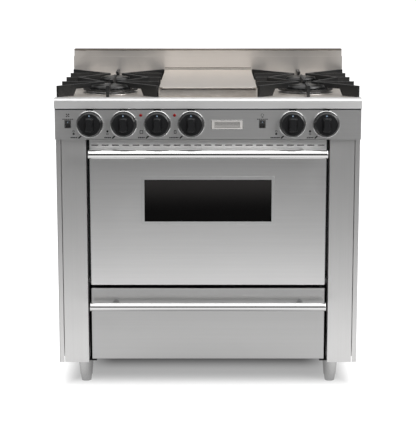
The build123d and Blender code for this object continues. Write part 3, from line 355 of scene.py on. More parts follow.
SLOT_FINISHES = {
    "body_steel": brushed("steel_side", 0.76, 0.44, "Z", warmth=0.006),
    "rail_steel": brushed("steel_rail", 0.76, 0.54, aniso=0.0),
    "panel_steel": brushed("steel_panel", 0.74, 0.42, aniso=0.5),
    "deck_steel": brushed("steel_deck", 0.84, 0.42, aniso=0.0, warmth=0.07),
    "guard_steel": brushed("steel_guard", 0.66, 0.36, aniso=0.9, warmth=0.05, turn=0.25),
    "door_steel": steel_front,
    "drawer_steel": brushed("steel_drawer", 0.5, 0.36),
    "handle_steel": brushed("steel_handle", 0.74, 0.1, aniso=0.0),
    "post_steel": polished("steel_post", 0.6, 0.2),
    "zinc_sheet": sheet_zinc(),
    "frame_black": cast("frame_painted", 0.03, 0.0, 0.5, 400.0),
    "leg_steel": brushed("steel_leg", 0.6, 0.24, "Z", aniso=0.0),
    "foot_steel": polished("steel_foot", 0.62, 0.22),
    "bezel_chrome": chrome,
    "trim_chrome": polished("chrome_trim", 0.8, 0.3),
    "rack_chrome": polished("chrome_rack", 0.72, 0.14, 0.01),
    "light_red": red_lens(),
    "knob_black": black_knob,
    "rocker_black": black_switch,
    "stem_steel": polished("steel_stem", 0.6, 0.25),
    "grate_iron": cast("iron_enamelled", 0.012, 0.0, 0.42, 1100.0),
    "bowl_steel": polished("steel_bowl", 0.62, 0.36, 0.02),
    "head_aluminium": cast("aluminium_cast", 0.9, 0.4, 0.5, 1000.0, relief=0.0002),
    "cap_enamel": enamel("enamel_cap", grey(0.014), grey(0.04), 0.66, 0.3),
    "griddle_steel": griddle_iron(),
    "cover_steel": brushed("steel_cover", 0.9, 0.36, aniso=0.0, warmth=0.07),
    "tube_steel": cast("steel_tube", 0.3, 1.0, 0.5, 700.0, 0.08, 0.0002),
    "oven_enamel": enamel("enamel_oven", (0.012, 0.014, 0.02, 1), (0.3, 0.33, 0.38, 1)),
    "door_enamel": enamel("enamel_door", (0.012, 0.014, 0.02, 1), (0.3, 0.33, 0.38, 1)),
    "window_dark": tinted_glass(),
    "seal_grey": woven_seal(),
    "wool_yellow": mineral_wool(),
    "motor_grey": cast("motor_painted", 0.16, 0.0, 0.5, 500.0),
    "fan_steel": brushed("steel_fan", 0.5, 0.35, aniso=0.0, warmth=0.03),
    "lamp_glass": clear_glass(),
    "pipe_aluminium": brushed("aluminium_pipe", 0.66, 0.34, aniso=0.0),
    "valve_brass": brass(),
    "regulator_cast": cast("regulator_grey", 0.32, 1.0, 0.5, 900.0, relief=0.0003),
    "gland_black": rubber(),
}

slot_of = {part["node"]: part["material_slot"] for part in frame["record"]["subparts"]}
for node_name, node in NODES.items():
    finish = SLOT_FINISHES[slot_of[node_name]]
    node.data.materials.clear()
    node.data.materials.append(finish)
    node.data.shade_smooth()
    node.data.set_sharp_from_angle(angle=SMOOTH_ANGLE)


# ---------------------------------------------------------------- mesh making
BLOCK_FACES = ((0, 1, 3, 2), (4, 6, 7, 5), (0, 4, 5, 1), (2, 3, 7, 6), (0, 2, 6, 4), (1, 5, 7, 3))


class Shape:
    """A mesh under construction, in metres, in the range's own frame."""

    def __init__(self):
        self.mesh = bmesh.new()

    def block(self, low, high):
        """A square-edged bar between two corners."""
        corners = []
        for x in (low[0], high[0]):
            for y in (low[1], high[1]):
                for z in (low[2], high[2]):
                    corners.append(self.mesh.verts.new((x, y, z)))
        for face in BLOCK_FACES:
            self.mesh.faces.new([corners[i] for i in face])
        return self

    def turned(self, profile, centre, axis="Z", steps=64, closed=True, radius_at=None):
        """A profile of (radius, height) points turned about an axis through centre."""
        centre = Vector(centre)
        rings = []
        for index, (radius, height) in enumerate(profile):
            ring = []
            for step in range(steps):
                angle = 2 * math.pi * step / steps
                reach = radius if radius_at is None else radius_at(index, step, radius)
                across, up = reach * math.cos(angle), reach * math.sin(angle)
                offset = {"Z": (across, up, height), "Y": (across, height, up), "X": (height, across, up)}
                ring.append(self.mesh.verts.new(centre + Vector(offset[axis])))
            rings.append(ring)
        pairs = list(zip(rings, rings[1:]))
        if closed:
            pairs.append((rings[-1], rings[0]))
        for lower, upper in pairs:
            for step in range(steps):
                after = (step + 1) % steps
                self.mesh.faces.new((lower[step], lower[after], upper[after], upper[step]))
        if not closed:
            self.mesh.faces.new(rings[0])
            self.mesh.faces.new(rings[-1])
        return self

    def outline(self, points, start, end, axis="Y", inset=0.0):
        """A flat outline pushed from start to end along an axis, and shrunk by inset at the end."""
        centre = sum((Vector(p) for p in points), Vector((0, 0))) / len(points)
        rings = []
        for level, shrink in ((start, 0.0), (end, inset)):
            ring = []
            for point in points:
                flat = Vector(point)
                flat -= (flat - centre).normalized() * shrink
                place = {"Y": (flat.x, level, flat.y), "X": (level, flat.x, flat.y)}
                ring.append(self.mesh.verts.new(place[axis]))
            rings.append(ring)
        count = len(points)
        for index in range(count):
            after = (index + 1) % count
            self.mesh.faces.new((rings[0][index], rings[0][after], rings[1][after], rings[1][index]))
        self.mesh.faces.new(rings[0])
        self.mesh.faces.new(rings[1])
        return self

    def wire(self, points, radius, loop, sides):
        """A round bar along points. On a loop it closes on itself."""
        spots = [Vector(p) for p in points]
        count = len(spots)
        rings = []
        up = None
        for index, spot in enumerate(spots):
            before = spots[index - 1] if loop or index else spot
            after = spots[(index + 1) % count] if loop or index < count - 1 else spot
            along = (after - before).normalized()
            if up is None:
                up = along.orthogonal().normalized()
            up = (up - along * up.dot(along)).normalized()
            side = along.cross(up)
            ring = []
            for step in range(sides):
                angle = 2 * math.pi * step / sides
                out = math.cos(angle) * up + math.sin(angle) * side
                ring.append(self.mesh.verts.new(spot + radius * out))
            rings.append(ring)
        pairs = list(zip(rings, rings[1:]))
        if loop:
            pairs.append((rings[-1], rings[0]))
        for first, second in pairs:
            for step in range(sides):
                after = (step + 1) % sides
                self.mesh.faces.new((first[step], first[after], second[after], second[step]))
        if not loop:
            self.mesh.faces.new(rings[0])
            self.mesh.faces.new(rings[-1])
        return self

    def moved(self, offset):
        bmesh.ops.translate(self.mesh, verts=self.mesh.verts, vec=Vector(offset))
        return self

    def piece(self, name, body, slot, finish, soften=0.0, replaces=()):
        """Finishes the mesh as an object that rides on a body."""
        bmesh.ops.recalc_face_normals(self.mesh, faces=self.mesh.faces)
        data = bpy.data.meshes.new(name)
        self.mesh.to_mesh(data)
        self.mesh.free()
        return made_piece(name, data, body, finish, soften, replaces)


def made_piece(name, data, body, finish, soften, replaces):
    """Puts a mesh in the scene with its finish and body, and softens its edges."""
    made = bpy.data.objects.new(name, data)
    bpy.context.scene.collection.objects.link(made)
    data.materials.clear()
    data.materials.append(finish)
    data.shade_smooth()
    data.set_sharp_from_angle(angle=SMOOTH_ANGLE)
    if soften:
        bevel = made.modifiers.new("soften", "BEVEL")
        bevel.width = soften
        bevel.segments = 2
        bevel.limit_method = "ANGLE"
        bevel.angle_limit = SMOOTH_ANGLE
        bevel.harden_normals = True
    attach(made, body)
    if replaces:
        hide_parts(*replaces)
    return made


def eased(node, width):
    """The node's own shape with its edges softened, as folded sheet and castings have them."""
    source = bmesh.new()
    source.from_mesh(NODES[node].data)
    bmesh.ops.remove_doubles(source, verts=source.verts, dist=1e-5)
    bmesh.ops.dissolve_limit(
        source, angle_limit=math.radians(1), verts=source.verts, edges=source.edges
    )
    data = bpy.data.meshes.new(node + "_eased")
    source.to_mesh(data)
    source.free()
    slot = slot_of[node]
    body = NODES[node]["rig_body"]
    return made_piece(node + "_eased", data, body, SLOT_FINISHES[slot], width, (node,))


def arc(centre, radius, start, end, steps):
    """Points round a centre in the flat, from one angle to another in degrees."""
    points = []
    for step in range(steps + 1):
        angle = math.radians(start + (end - start) * step / steps)
        points.append((centre[0] + radius * math.cos(angle), centre[1] + radius * math.sin(angle)))
    return points


def middle(node):
    """The middle of a node's box."""
    low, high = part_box(node)
    return (low + high) / 2


# Angles and steps that take an arc once round, 16 points in all.
ROUND = (0, 337.5, 15)


# ---------------------------------------------------------------- knobs and their rings
KNOBS = [f"knob_{number}" for number in range(1, 7)]
panel_low, panel_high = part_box("control_panel")
rail_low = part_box("front_rail")[0]
PANEL_FACE = panel_low.y
knob_low, knob_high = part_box("knob_1")
SKIRT_R = (knob_high.x - knob_low.x) / 2
KNOB_TIP = knob_low.y
KNOB_FOOT = knob_high.y
KNOB_Z = (knob_low.z + knob_high.z) / 2
FACE_R = SKIRT_R - 0.0035
FACE_Y = KNOB_FOOT - 0.0135
GRIP_HALF = 0.0098
GRIP_LONG = 0.0242


def grip_outline(half, long):
    """Upright grip: straight flanks, pinched a little at the waist, round ends."""
    points = []
    for side in (1, -1):
        for level in (-0.8, -0.4, 0, 0.4, 0.8):
            wide = half * (1 - 0.09 * math.cos(math.pi * level / 2))
            points.append((side * wide, side * level * long))
        for wide, tall in ((0.72, 0.96), (0.3, 1), (-0.3, 1), (-0.72, 0.96)):
            points.append((side * half * wide, side * long * tall))
    return points


def knob_shape(centre_x):
    """Skirt and face turned in one profile, with the grip standing on them."""
    knob = Shape()
    knob.turned(
        [
            (0.0045, KNOB_FOOT), (SKIRT_R - 0.001, KNOB_FOOT), (SKIRT_R, KNOB_FOOT - 0.001),
            (SKIRT_R - 0.0004, KNOB_FOOT - 0.0055), (SKIRT_R - 0.0016, KNOB_FOOT - 0.0072),
            (FACE_R + 0.0004, KNOB_FOOT - 0.0105), (FACE_R, FACE_Y - 0.0006),
            (FACE_R - 0.0009, FACE_Y - 0.0012), (FACE_R - 0.0018, FACE_Y - 0.0008),
            (FACE_R - 0.0028, FACE_Y + 0.0004), (0.012, FACE_Y + 0.0012), (0.0045, FACE_Y + 0.0012),
        ],
        (0, 0, 0), "Y", 72,
    )
    shoulders = grip_outline(GRIP_HALF * 1.55, GRIP_LONG)
    knob.outline(shoulders, FACE_Y + 0.003, KNOB_TIP + 0.004, inset=0.0046)
    ridge = grip_outline(GRIP_HALF * 1.02, GRIP_LONG - 0.0042)
    knob.outline(ridge, KNOB_TIP + 0.0045, KNOB_TIP + 0.0003, inset=0.0012)
    return knob.moved((centre_x, 0, KNOB_Z))


def pointer_shape(centre_x):
    """A pale wedge above the grip, sunk in the face."""
    wedge = [(-0.0026, 0.0248), (0.0026, 0.0248), (0.0005, 0.0296), (-0.0005, 0.0296)]
    mark = Shape()
    mark.outline(wedge, FACE_Y + 0.001, FACE_Y - 0.0008)
    return mark.moved((centre_x, 0, KNOB_Z))


for node in KNOBS:
    body = NODES[node]["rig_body"]
    at = middle(node)
    knob_shape(at.x).piece(node + "_moulded", body, "knob_black", black_knob, 0.0007, (node,))
    pointer_shape(at.x).piece(node + "_pointer", body, "knob_black", ink_pale)

ring_low, ring_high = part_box("knob_bezels")
RING_R = (ring_high.z - ring_low.z) / 2
RING_FRONT = ring_low.y
rings = Shape()
for node in KNOBS:
    rings.turned(
        [
            (RING_R - 0.0085, PANEL_FACE), (RING_R, PANEL_FACE), (RING_R, PANEL_FACE - 0.0026),
            (RING_R - 0.0004, RING_FRONT + 0.0009), (RING_R - 0.0013, RING_FRONT + 0.0001),
            (RING_R - 0.0026, RING_FRONT), (RING_R - 0.0048, RING_FRONT + 0.0005),
            (RING_R - 0.0085, RING_FRONT + 0.0026),
        ],
        (middle(node).x, 0, KNOB_Z), "Y", 80,
    )
rings.piece("knob_rings_chrome", "range_body", "bezel_chrome", chrome, replaces=("knob_bezels",))


# ---------------------------------------------------------------- panel: switches, marks, badge
def framed(low, high, width, front, back):
    """A flat rectangular frame standing on the panel."""
    shape = Shape()
    for a, b in (
        ((low[0], low[1]), (low[0] + width, high[1])),
        ((high[0] - width, low[1]), (high[0], high[1])),
        ((low[0] + width, low[1]), (high[0] - width, low[1] + width)),
        ((low[0] + width, high[1] - width), (high[0] - width, high[1])),
    ):
        shape.block((a[0], front, a[1]), (b[0], back, b[1]))
    return shape


SWITCHES = {"rocker_fan": "fan_switch", "rocker_light": "light_switch"}
SWITCH_RIM = 0.0012
SWITCH_EDGE = SWITCH_RIM + 0.0009
SWITCH_PROUD = 0.0009
for node, body in SWITCHES.items():
    low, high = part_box(node)
    at = middle(node)
    framed(
        (low.x - SWITCH_EDGE, low.z - SWITCH_EDGE), (high.x + SWITCH_EDGE, high.z + SWITCH_EDGE),
        SWITCH_RIM, PANEL_FACE - SWITCH_PROUD, PANEL_FACE,
    ).piece(node + "_frame", "range_body", "rocker_black", black_switch, 0.0003)
    signs = Shape()
    ring = [(x, low.y - 0.00005, at.z - 0.0049 + z) for x, z in arc((0, 0), 0.0021, *ROUND)]
    signs.wire(ring, 0.0005, True, 6)
    signs.block((-0.0005, low.y - 0.0002, at.z + 0.0032), (0.0005, low.y + 0.0012, at.z + 0.0072))
    signs.moved((at.x, 0.0012, 0)).piece(node + "_signs", body, "rocker_black", ink_pale)

INK = 0.00012
INK_FRONT = PANEL_FACE - INK
marks = Shape()


def printed(points):
    """A closed flat patch of ink on the panel's face, from (x, z) points."""
    marks.outline(points, PANEL_FACE, INK_FRONT)


def printed_box(x, z, wide, tall):
    left, right = x - wide / 2, x + wide / 2
    foot, top = z - tall / 2, z + tall / 2
    printed([(left, foot), (right, foot), (right, top), (left, top)])


def printed_ring(x, z, radius, thick):
    bore = radius - thick
    profile = [(radius, PANEL_FACE), (radius, INK_FRONT), (bore, INK_FRONT), (bore, PANEL_FACE)]
    marks.turned(profile, (x, 0, z), "Y", 28)


def printed_dashes(start, end, z, count, tall=0.0036):
    """Short plain dashes in place of a word."""
    pitch = (end - start) / count
    for number in range(count):
        printed_box(start + pitch * (number + 0.5), z, pitch * 0.82, tall)


def printed_hollow(x, z, wide, tall, thick):
    """An upright hollow oblong."""
    printed_box(x - wide / 2 + thick / 2, z, thick, tall)
    printed_box(x + wide / 2 - thick / 2, z, thick, tall)
    printed_box(x, z - tall / 2 + thick / 2, wide - 2 * thick, thick)
    printed_box(x, z + tall / 2 - thick / 2, wide - 2 * thick, thick)


# Which knobs, counted from the left, have a long word, an oven's sign or a front burner's sign.
LONG_WORDS = (3, 4)
OVEN_SIGNS = {2: 0.0098, 3: 0.0072}
FRONT_BURNERS = (0, 4)
WORD_Z = KNOB_Z - 0.0403
SLASH = ((-0.0362, -0.0015), (-0.0322, -0.0036), (-0.0240, 0.0040), (-0.0284, 0.0056))
DOT_R = 0.0032
DOT_PITCH = 0.0078
for number, node in enumerate(KNOBS):
    x = middle(node).x
    long_word = number in LONG_WORDS
    printed_dashes(x - (0.0655 if long_word else 0.058), x - 0.0372, WORD_Z, 6 if long_word else 4)
    printed([(x + across, WORD_Z + up) for across, up in SLASH])
    if number in OVEN_SIGNS:
        printed_hollow(x - 0.0475, KNOB_Z - 0.0235, OVEN_SIGNS[number], 0.0104, 0.0016)
    else:
        lit = 0 if number in FRONT_BURNERS else 1
        for level in (0, 1):
            z = KNOB_Z - 0.0292 + DOT_PITCH * level
            if level == lit:
                printed(arc((x - 0.0482, z), DOT_R, *ROUND))
            else:
                printed_ring(x - 0.0482, z, DOT_R, 0.0011)

for node in SWITCHES:
    x = middle(node).x
    printed_dashes(x - 0.0165, x + 0.0165, KNOB_Z + 0.0148, 6, 0.0024)
fan_hub = (middle("rocker_fan").x, KNOB_Z + 0.0262)
for blade in range(4):
    turn = 90 * blade + 45
    printed([fan_hub] + arc(fan_hub, 0.0062, turn - 20, turn + 20, 5))
lamp_x = middle("rocker_light").x
printed_ring(lamp_x, KNOB_Z + 0.0268, 0.0046, 0.0009)
printed_box(lamp_x, KNOB_Z + 0.0204, 0.0042, 0.0017)

# Painted shadow: a dark ink strip under the rail, with wider painted shadow patches above each knob.
printed_box(0.0, rail_low.z - 0.0018, 2 * panel_high.x - 0.003, 0.0036)
for node in KNOBS:
    printed_box(middle(node).x, rail_low.z - 0.0034, 0.021, 0.005)
marks.piece("panel_print_and_painted_shadow", "range_body", "panel_steel", dark_ink_and_painted_shade)

BADGE_X = 0.0573
BADGE_Z = KNOB_Z - 0.0015
BADGE_HALF = (0.0475, 0.0138)
BADGE_LOW = (BADGE_X - BADGE_HALF[0], BADGE_Z - BADGE_HALF[1])
BADGE_HIGH = (BADGE_X + BADGE_HALF[0], BADGE_Z + BADGE_HALF[1])
BADGE_FRONT = PANEL_FACE - 0.0016
RIB_R = 0.0008
RIB_HALF = 0.0375
RIB_PITCH = 0.0037
badge = Shape()
badge.block(
    (BADGE_LOW[0], BADGE_FRONT + 0.0005, BADGE_LOW[1]), (BADGE_HIGH[0], PANEL_FACE, BADGE_HIGH[1])
)
badge_steel = brushed("steel_badge", 0.95, 0.5, aniso=0.0, warmth=0.03)
badge.piece("badge_plate", "range_body", "trim_chrome", badge_steel, 0.0003)
rim = framed(BADGE_LOW, BADGE_HIGH, 0.0016, BADGE_FRONT, PANEL_FACE - 0.0008)
rim.piece("badge_rim", "range_body", "trim_chrome", chrome, 0.0003)
ribs = Shape()
for rib in range(5):
    z = BADGE_Z + (rib - 2) * RIB_PITCH
    left_end = arc((BADGE_X - RIB_HALF, z), RIB_R, 90, 270, 6)
    right_end = arc((BADGE_X + RIB_HALF, z), RIB_R, -90, 90, 6)
    ribs.outline(left_end + right_end, BADGE_FRONT + 0.0006, BADGE_FRONT + 0.0003)
ribs.piece("badge_ribs", "range_body", "trim_chrome", dark_ink_and_painted_shade)


# ---------------------------------------------------------------- burners
head_low, head_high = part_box("burner_heads")
cap_low, cap_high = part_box("burner_caps")
bowl_low, bowl_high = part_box("burner_bowls")
BURNER_X = middle("grate_right").x
BOWL_R = bowl_high.x - BURNER_X
BURNER_YS = (bowl_low.y + BOWL_R, bowl_high.y - BOWL_R)
HEAD_R = head_high.x - BURNER_X
CAP_R = cap_high.x - BURNER_X
HEAD_TOP = head_high.z
PORTS = 36
SKIRT_TOP = HEAD_TOP - 0.0085
SKIRT_R_WIDE = 0.047
AXIS_R = 0.0001
IGNITER_REACH = 0.0785
IGNITER_ANGLE = math.radians(70)
IGNITER_X = IGNITER_REACH * math.cos(IGNITER_ANGLE)
IGNITER_Y = IGNITER_REACH * math.sin(IGNITER_ANGLE)
IGNITER_FOOT = bowl_low.z + 0.0015
IGNITER_TOP = IGNITER_FOOT + 0.015


def head_radius(index, step, radius):
    """Ports are slots cut in the rim: every third step steps in."""
    return radius - 0.005 if index in (4, 5) and step % 3 == 0 else radius


heads = Shape()
ports = Shape()
caps = Shape()
igniters = Shape()
tips = Shape()
for burner_x in (-BURNER_X, BURNER_X):
    for burner_y in BURNER_YS:
        centre = (burner_x, burner_y, 0)
        heads.turned(
            [
                (0.03, SKIRT_TOP), (0.03, head_low.z + 0.0005), (0.034, head_low.z),
                (0.035, bowl_low.z + 0.0022), (SKIRT_R_WIDE - 0.002, bowl_low.z + 0.0022),
                (SKIRT_R_WIDE, bowl_low.z + 0.0042),
                (SKIRT_R_WIDE, SKIRT_TOP - 0.0012), (SKIRT_R_WIDE - 0.0012, SKIRT_TOP),
            ],
            centre, "Z", 96,
        )
        ports.turned(
            [
                (0.03, HEAD_TOP - 0.0003), (0.03, SKIRT_TOP), (SKIRT_R_WIDE + 0.003, SKIRT_TOP),
                (HEAD_R - 0.004, HEAD_TOP - 0.0034), (HEAD_R, HEAD_TOP - 0.0026),
                (HEAD_R, HEAD_TOP - 0.0012), (HEAD_R - 0.002, HEAD_TOP - 0.0003),
            ],
            centre, "Z", PORTS * 3, radius_at=head_radius,
        )
        caps.turned(
            [
                (0.004, cap_low.z + 0.0004), (CAP_R - 0.002, cap_low.z + 0.0004), (CAP_R, cap_low.z + 0.0018),
                (CAP_R - 0.0012, cap_low.z + 0.0048), (CAP_R - 0.005, cap_high.z - 0.0012),
                (CAP_R * 0.55, cap_high.z - 0.0003), (CAP_R * 0.5, cap_high.z - 0.0009),
                (CAP_R * 0.44, cap_high.z - 0.0004), (0.004, cap_high.z),
            ],
            centre, "Z", 72, closed=False,
        )
        spot = (burner_x + IGNITER_X, burner_y + IGNITER_Y, 0)
        igniters.turned(
            [
                (AXIS_R, IGNITER_FOOT), (0.0031, IGNITER_FOOT), (0.0031, IGNITER_TOP - 0.006),
                (0.0022, IGNITER_TOP - 0.005), (0.0022, IGNITER_TOP), (AXIS_R, IGNITER_TOP + 0.0003),
            ],
            spot, "Z", 20,
        )
        tips.turned(
            [
                (AXIS_R, IGNITER_TOP), (0.0007, IGNITER_TOP), (0.0007, IGNITER_TOP + 0.006),
                (AXIS_R, IGNITER_TOP + 0.0062),
            ],
            spot, "Z", 12,
        )
aluminium = SLOT_FINISHES["head_aluminium"]
heads.piece("burner_heads_ported", "range_body", "head_aluminium", aluminium, replaces=("burner_heads",))
# Painted shade: the port band is near-black aluminium, standing in for the shadow under the caps.
port_band_painted_shade = cast("aluminium_painted_shade", 0.05, 1.0, 0.5, 900.0)
ports.piece("burner_port_rings", "range_body", "head_aluminium", port_band_painted_shade)
domes = SLOT_FINISHES["cap_enamel"]
caps.piece("burner_caps_domed", "range_body", "cap_enamel", domes, replaces=("burner_caps",))
igniters.piece("igniters", "range_body", "cap_enamel", ceramic())
tips.piece("igniter_tips", "range_body", "stem_steel", screw_steel)


# ---------------------------------------------------------------- softened sheet and castings
EASED_WIDTHS = {
    "grate_left": 0.0011,
    "grate_right": 0.0011,
    "griddle_cover": 0.0008,
    "side_panels": 0.0005,
    "window_trim": 0.0004,
    "front_pillars": 0.0005,
    "door_liner": 0.002,
    "leg_sleeves": 0.0006,
}
for node, width in EASED_WIDTHS.items():
    eased(node, width)


# ---------------------------------------------------------------- backguard's hem in painted shade, and a painted reflection line
guard_low, guard_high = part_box("backguard")
cover_low, cover_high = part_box("griddle_cover")
# Painted shade: near-black steel for the hem's shadowed top edge, and for a reflection line above the cover.
painted_dark_steel = brushed("steel_painted_shade", 0.09, 0.4, aniso=0.0, warmth=0.22)
HEM_R = 0.0019
GUARD_STEP = 0.002
hem = Shape()
hem.outline(
    arc((guard_low.y + GUARD_STEP, guard_high.z - HEM_R - 0.0002), HEM_R, 90, 270, 8),
    guard_low.x + 1.5 * GUARD_STEP, guard_high.x - 1.5 * GUARD_STEP, "X",
)
hem.piece("backguard_hem", "range_body", "guard_steel", painted_dark_steel)
# Painted reflection: a dark strip on the guard where the cover's rear edge is mirrored in it.
reflection_line = Shape()
reflection_line.block(
    (cover_low.x, guard_low.y - 0.0004, cover_high.z + 0.0055),
    (cover_high.x, guard_low.y + 0.0002, cover_high.z + 0.0075),
)
reflection_line.piece("guard_painted_reflection_line", "range_body", "guard_steel", painted_dark_steel)


# ---------------------------------------------------------------- fan guard and door seal
wheel_low, wheel_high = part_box("fan_wheel")
seal_low, seal_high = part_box("door_gasket")
fan = middle("fan_wheel")
guard_y = wheel_low.y - 0.005
WIRE_R = 0.0016
RING_RADII = (0.024, 0.047, 0.07, 0.092)
SPOKE = (
    (RING_RADII[0], guard_y), (RING_RADII[-1], guard_y), (0.0965, guard_y + 0.003),
    (0.0975, guard_y + 0.009), (0.0975, wheel_high.y),
)
guard = Shape()
for radius in RING_RADII:
    ring = [(fan.x + a, guard_y, fan.z + b) for a, b in arc((0, 0), radius, 0, 354, 59)]
    guard.wire(ring, WIRE_R, True, 8)
for spoke in range(6):
    angle = math.radians(60 * spoke + 30)
    out, up = math.cos(angle), math.sin(angle)
    guard.wire([(fan.x + r * out, y, fan.z + r * up) for r, y in SPOKE], WIRE_R, False, 8)
guard.piece("fan_guard", "range_body", "rack_chrome", SLOT_FINISHES["rack_chrome"])

seal_half = ((seal_high.x - seal_low.x) / 2, (seal_high.z - seal_low.z) / 2)
seal_mid = (seal_low + seal_high) / 2
ROPE_R = (seal_high.y - seal_low.y) / 2 - 0.0001
ROPE_INSET = 0.0058
BEND_R = 0.022
rope_path = []
for turn, sx, sz in ((0, 1, 1), (90, -1, 1), (180, -1, -1), (270, 1, -1)):
    bend = (sx * (seal_half[0] - ROPE_INSET - BEND_R), sz * (seal_half[1] - ROPE_INSET - BEND_R))
    rope_path += arc(bend, BEND_R, turn, turn + 90, 10)
seal = Shape()
seal.wire([(seal_mid.x + x, seal_mid.y, seal_mid.z + z) for x, z in rope_path], ROPE_R, True, 14)
rope = SLOT_FINISHES["seal_grey"]
seal.piece("door_seal_rope", "range_body", "seal_grey", rope, replaces=("door_gasket",))


# ---------------------------------------------------------------- screws, rating plate
def screw(shape, slots, at, facing, radius=0.0042, proud=0.0011):
    """A low pan-head screw on a face, with its cross recess as two dark bars of painted shade."""
    axis, sign = facing
    profile = [
        (0.0002, 0.0), (radius, 0.0), (radius, proud * 0.35 * sign),
        (radius * 0.75, proud * 0.85 * sign), (0.0002, proud * sign),
    ]
    shape.turned(profile, at, axis, 20)
    deep = "XYZ".index(axis)
    flat = [i for i in range(3) if i != deep]
    reach = radius * 0.55
    for half in ((reach, reach * 0.22), (reach * 0.22, reach)):
        low, high = Vector(at), Vector(at)
        for i, size in zip(flat, half):
            low[i] -= size
            high[i] += size
        low[deep], high[deep] = sorted((at[deep] + proud * 0.7 * sign, at[deep] + proud * 1.03 * sign))
        slots.block(low, high)


BACK_EDGE = 0.014
BACK_PROUD = 0.0008
BACK_SPACES = 6
SIDE_EDGE = 0.05
screws = Shape()
# Painted shade: dark bars standing in for the shadow in each screw's cross recess.
slots = Shape()
back_low, back_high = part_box("back_panel")
side_low, side_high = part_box("side_panels")
for number in range(BACK_SPACES + 1):
    z = back_low.z + 0.03 + number * (back_high.z - back_low.z - 0.06) / BACK_SPACES
    for x in (back_low.x + BACK_EDGE, back_high.x - BACK_EDGE):
        screw(screws, slots, (x, back_high.y, z), ("Y", 1), proud=BACK_PROUD)
for number in range(1, BACK_SPACES):
    x = back_low.x + BACK_EDGE + number * (back_high.x - back_low.x - 2 * BACK_EDGE) / BACK_SPACES
    for z in (back_low.z + BACK_EDGE, back_high.z - BACK_EDGE):
        screw(screws, slots, (x, back_high.y, z), ("Y", 1), proud=BACK_PROUD)
for y in (side_low.y + SIDE_EDGE, (side_low.y + side_high.y) / 2, side_high.y - SIDE_EDGE):
    for x, sign in ((side_low.x, -1), (side_high.x, 1)):
        screw(screws, slots, (x, y, side_low.z + 0.016), ("X", sign))
screws.piece("cover_screws", "range_body", "foot_steel", screw_steel)
slots.piece("cover_screw_slots_painted_shade", "range_body", "foot_steel", dark_ink_and_painted_shade)

PLATE_X = (-0.33, -0.23)
PLATE_Z = (0.62, 0.69)
plate = Shape()
plate.block(
    (PLATE_X[0], back_high.y - 0.0002, PLATE_Z[0]), (PLATE_X[1], back_high.y + 0.0005, PLATE_Z[1])
)
plate.piece("rating_plate_blank", "range_body", "trim_chrome", badge_steel, 0.0002)


# ---------------------------------------------------------------- room, light and camera
def lamp(name, place, aim, size, power):
    """An oblong light in metres and watts, aimed at a point."""
    data = bpy.data.lights.new(name, "AREA")
    data.shape = "RECTANGLE"
    data.size, data.size_y = size
    data.energy = power
    made = bpy.data.objects.new(name, data)
    bpy.context.scene.collection.objects.link(made)
    made.location = place
    made.rotation_euler = (Vector(aim) - Vector(place)).to_track_quat("-Z", "Y").to_euler()


FLOOR_HALF = 30.0
floor_data = bpy.data.meshes.new("floor")
floor_shape = bmesh.new()
bmesh.ops.create_grid(floor_shape, x_segments=1, y_segments=1, size=FLOOR_HALF)
floor_shape.to_mesh(floor_data)
floor_shape.free()
floor = bpy.data.objects.new("floor", floor_data)
bpy.context.scene.collection.objects.link(floor)
paper = Finish("floor_paper", {"Roughness": 0.9, "Specular IOR Level": 0.1})
fibre = paper.noise(40.0)

# What the camera sees of the floor: white, with a painted box-shaped shadow under the range. What the
# reflections see of it: a glow that falls off with distance.
reach = paper.node("ShaderNodeVectorMath", {"operation": "LENGTH"}, {0: paper.place}, "Value")
depth_y = paper.axis("Y")
side_x = paper.node("ShaderNodeMath", {"operation": "ABSOLUTE"}, {0: paper.axis("X")})
from_middle = paper.node("ShaderNodeMath", {"operation": "ABSOLUTE"}, {0: depth_y - 0.1})
clear = paper.node(
    "ShaderNodeMath",
    {"operation": "MAXIMUM"},
    {0: paper.fade(side_x, 0.38, 0.53), 1: paper.fade(from_middle, 0.24, 0.6)},
)
# Painted shadow: the floor's glow is cut back under the front of the range.
painted_shadow_under_range = paper.fade(depth_y, -0.14, 0.03, 0.0, 0.34) * paper.fade(side_x, 0.3, 0.42, 1.0, 0.0)
seen = 0.36 + 0.94 * clear - painted_shadow_under_range
bounced = paper.fade(reach, 0.3, 0.8, 0.3, 0.95) * paper.fade(reach, 0.8, 3.5, 1.0, 0.08)
direct = paper.node("ShaderNodeLightPath", output="Is Camera Ray")
glow = bounced + direct * (seen - bounced)
paper.join(paper.shader.inputs["Emission Color"], paper.blend(glow, grey(0.0), grey(1.0)))
paper.shader.inputs["Emission Strength"].default_value = 1.0
sheet = paper.blend(direct, grey(0.1), paper.blend(fibre, grey(0.36), grey(0.4)))
floor_data.materials.append(paper.surface(sheet, 0.85 + 0.1 * fibre))

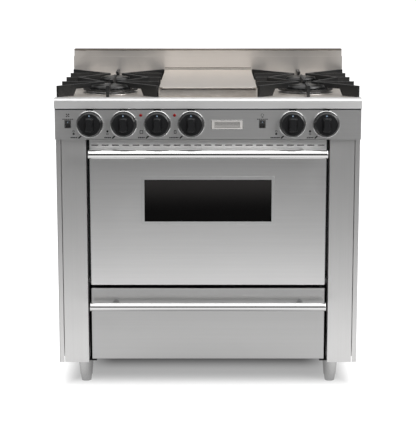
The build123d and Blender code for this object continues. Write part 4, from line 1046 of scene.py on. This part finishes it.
lamp("light_above", (0.35, -0.8, 3.4), (0, -0.1, 0.5), (6.0, 4.6), 108)
lamp("light_right", (2.6, -2.6, 2.3), (0.2, -0.3, 0.8), (1.6, 1.6), 72)
lamp("light_left", (-3.0, -2.0, 1.9), (0, -0.2, 0.6), (1.4, 2.2), 9)
lamp("light_back", (0.0, 3.2, 2.6), (0, 0, 0.5), (3.0, 1.6), 3)

world = bpy.data.worlds.new("studio")
world.use_nodes = True
bpy.context.scene.world = world
tree = world.node_tree
backdrop = tree.nodes["Background"]
backdrop.inputs["Color"].default_value = (1, 1, 1, 1)
around = tree.nodes.new("ShaderNodeBackground")
direction = tree.nodes.new("ShaderNodeTexCoord")
split = tree.nodes.new("ShaderNodeSeparateXYZ")
tree.links.new(direction.outputs["Generated"], split.inputs[0])


def ramp(value, low, high, start, end):
    """A smooth change of a value in the room's own node tree."""
    made = tree.nodes.new("ShaderNodeMapRange")
    made.interpolation_type = "SMOOTHSTEP"
    sockets = {"From Min": low, "From Max": high, "To Min": start, "To Max": end}
    for socket, number in sockets.items():
        made.inputs[socket].default_value = number
    tree.links.new(value, made.inputs["Value"])
    return made.outputs[0]


rise = ramp(split.outputs["Z"], 0.2, 0.8, 0.05, 1.1)
to_back = ramp(split.outputs["Y"], 0.0, 0.5, 0.0, 1.0)
level = tree.nodes.new("ShaderNodeMix")
tree.links.new(to_back, level.inputs[0])
tree.links.new(rise, level.inputs[2])
level.inputs[3].default_value = 0.3
tree.links.new(level.outputs[0], around.inputs["Strength"])
path = tree.nodes.new("ShaderNodeLightPath")
chosen = tree.nodes.new("ShaderNodeMixShader")
tree.links.new(path.outputs["Is Camera Ray"], chosen.inputs[0])
tree.links.new(around.outputs[0], chosen.inputs[1])
tree.links.new(backdrop.outputs[0], chosen.inputs[2])
tree.links.new(chosen.outputs[0], tree.nodes["World Output"].inputs["Surface"])

CAMERA_LENS = 124.93
CAMERA_PLACE = (0.0, -4.720, 1.352)
CAMERA_DIP = 10.42
view_data = bpy.data.cameras.new("camera")
view_data.lens = CAMERA_LENS
view_data.clip_end = 100.0
camera = bpy.data.objects.new("camera", view_data)
bpy.context.scene.collection.objects.link(camera)
camera.location = CAMERA_PLACE
camera.rotation_euler = (math.radians(90 - CAMERA_DIP), 0.0, 0.0)
bpy.context.scene.camera = camera
bpy.context.scene.view_settings.view_transform = "Standard"
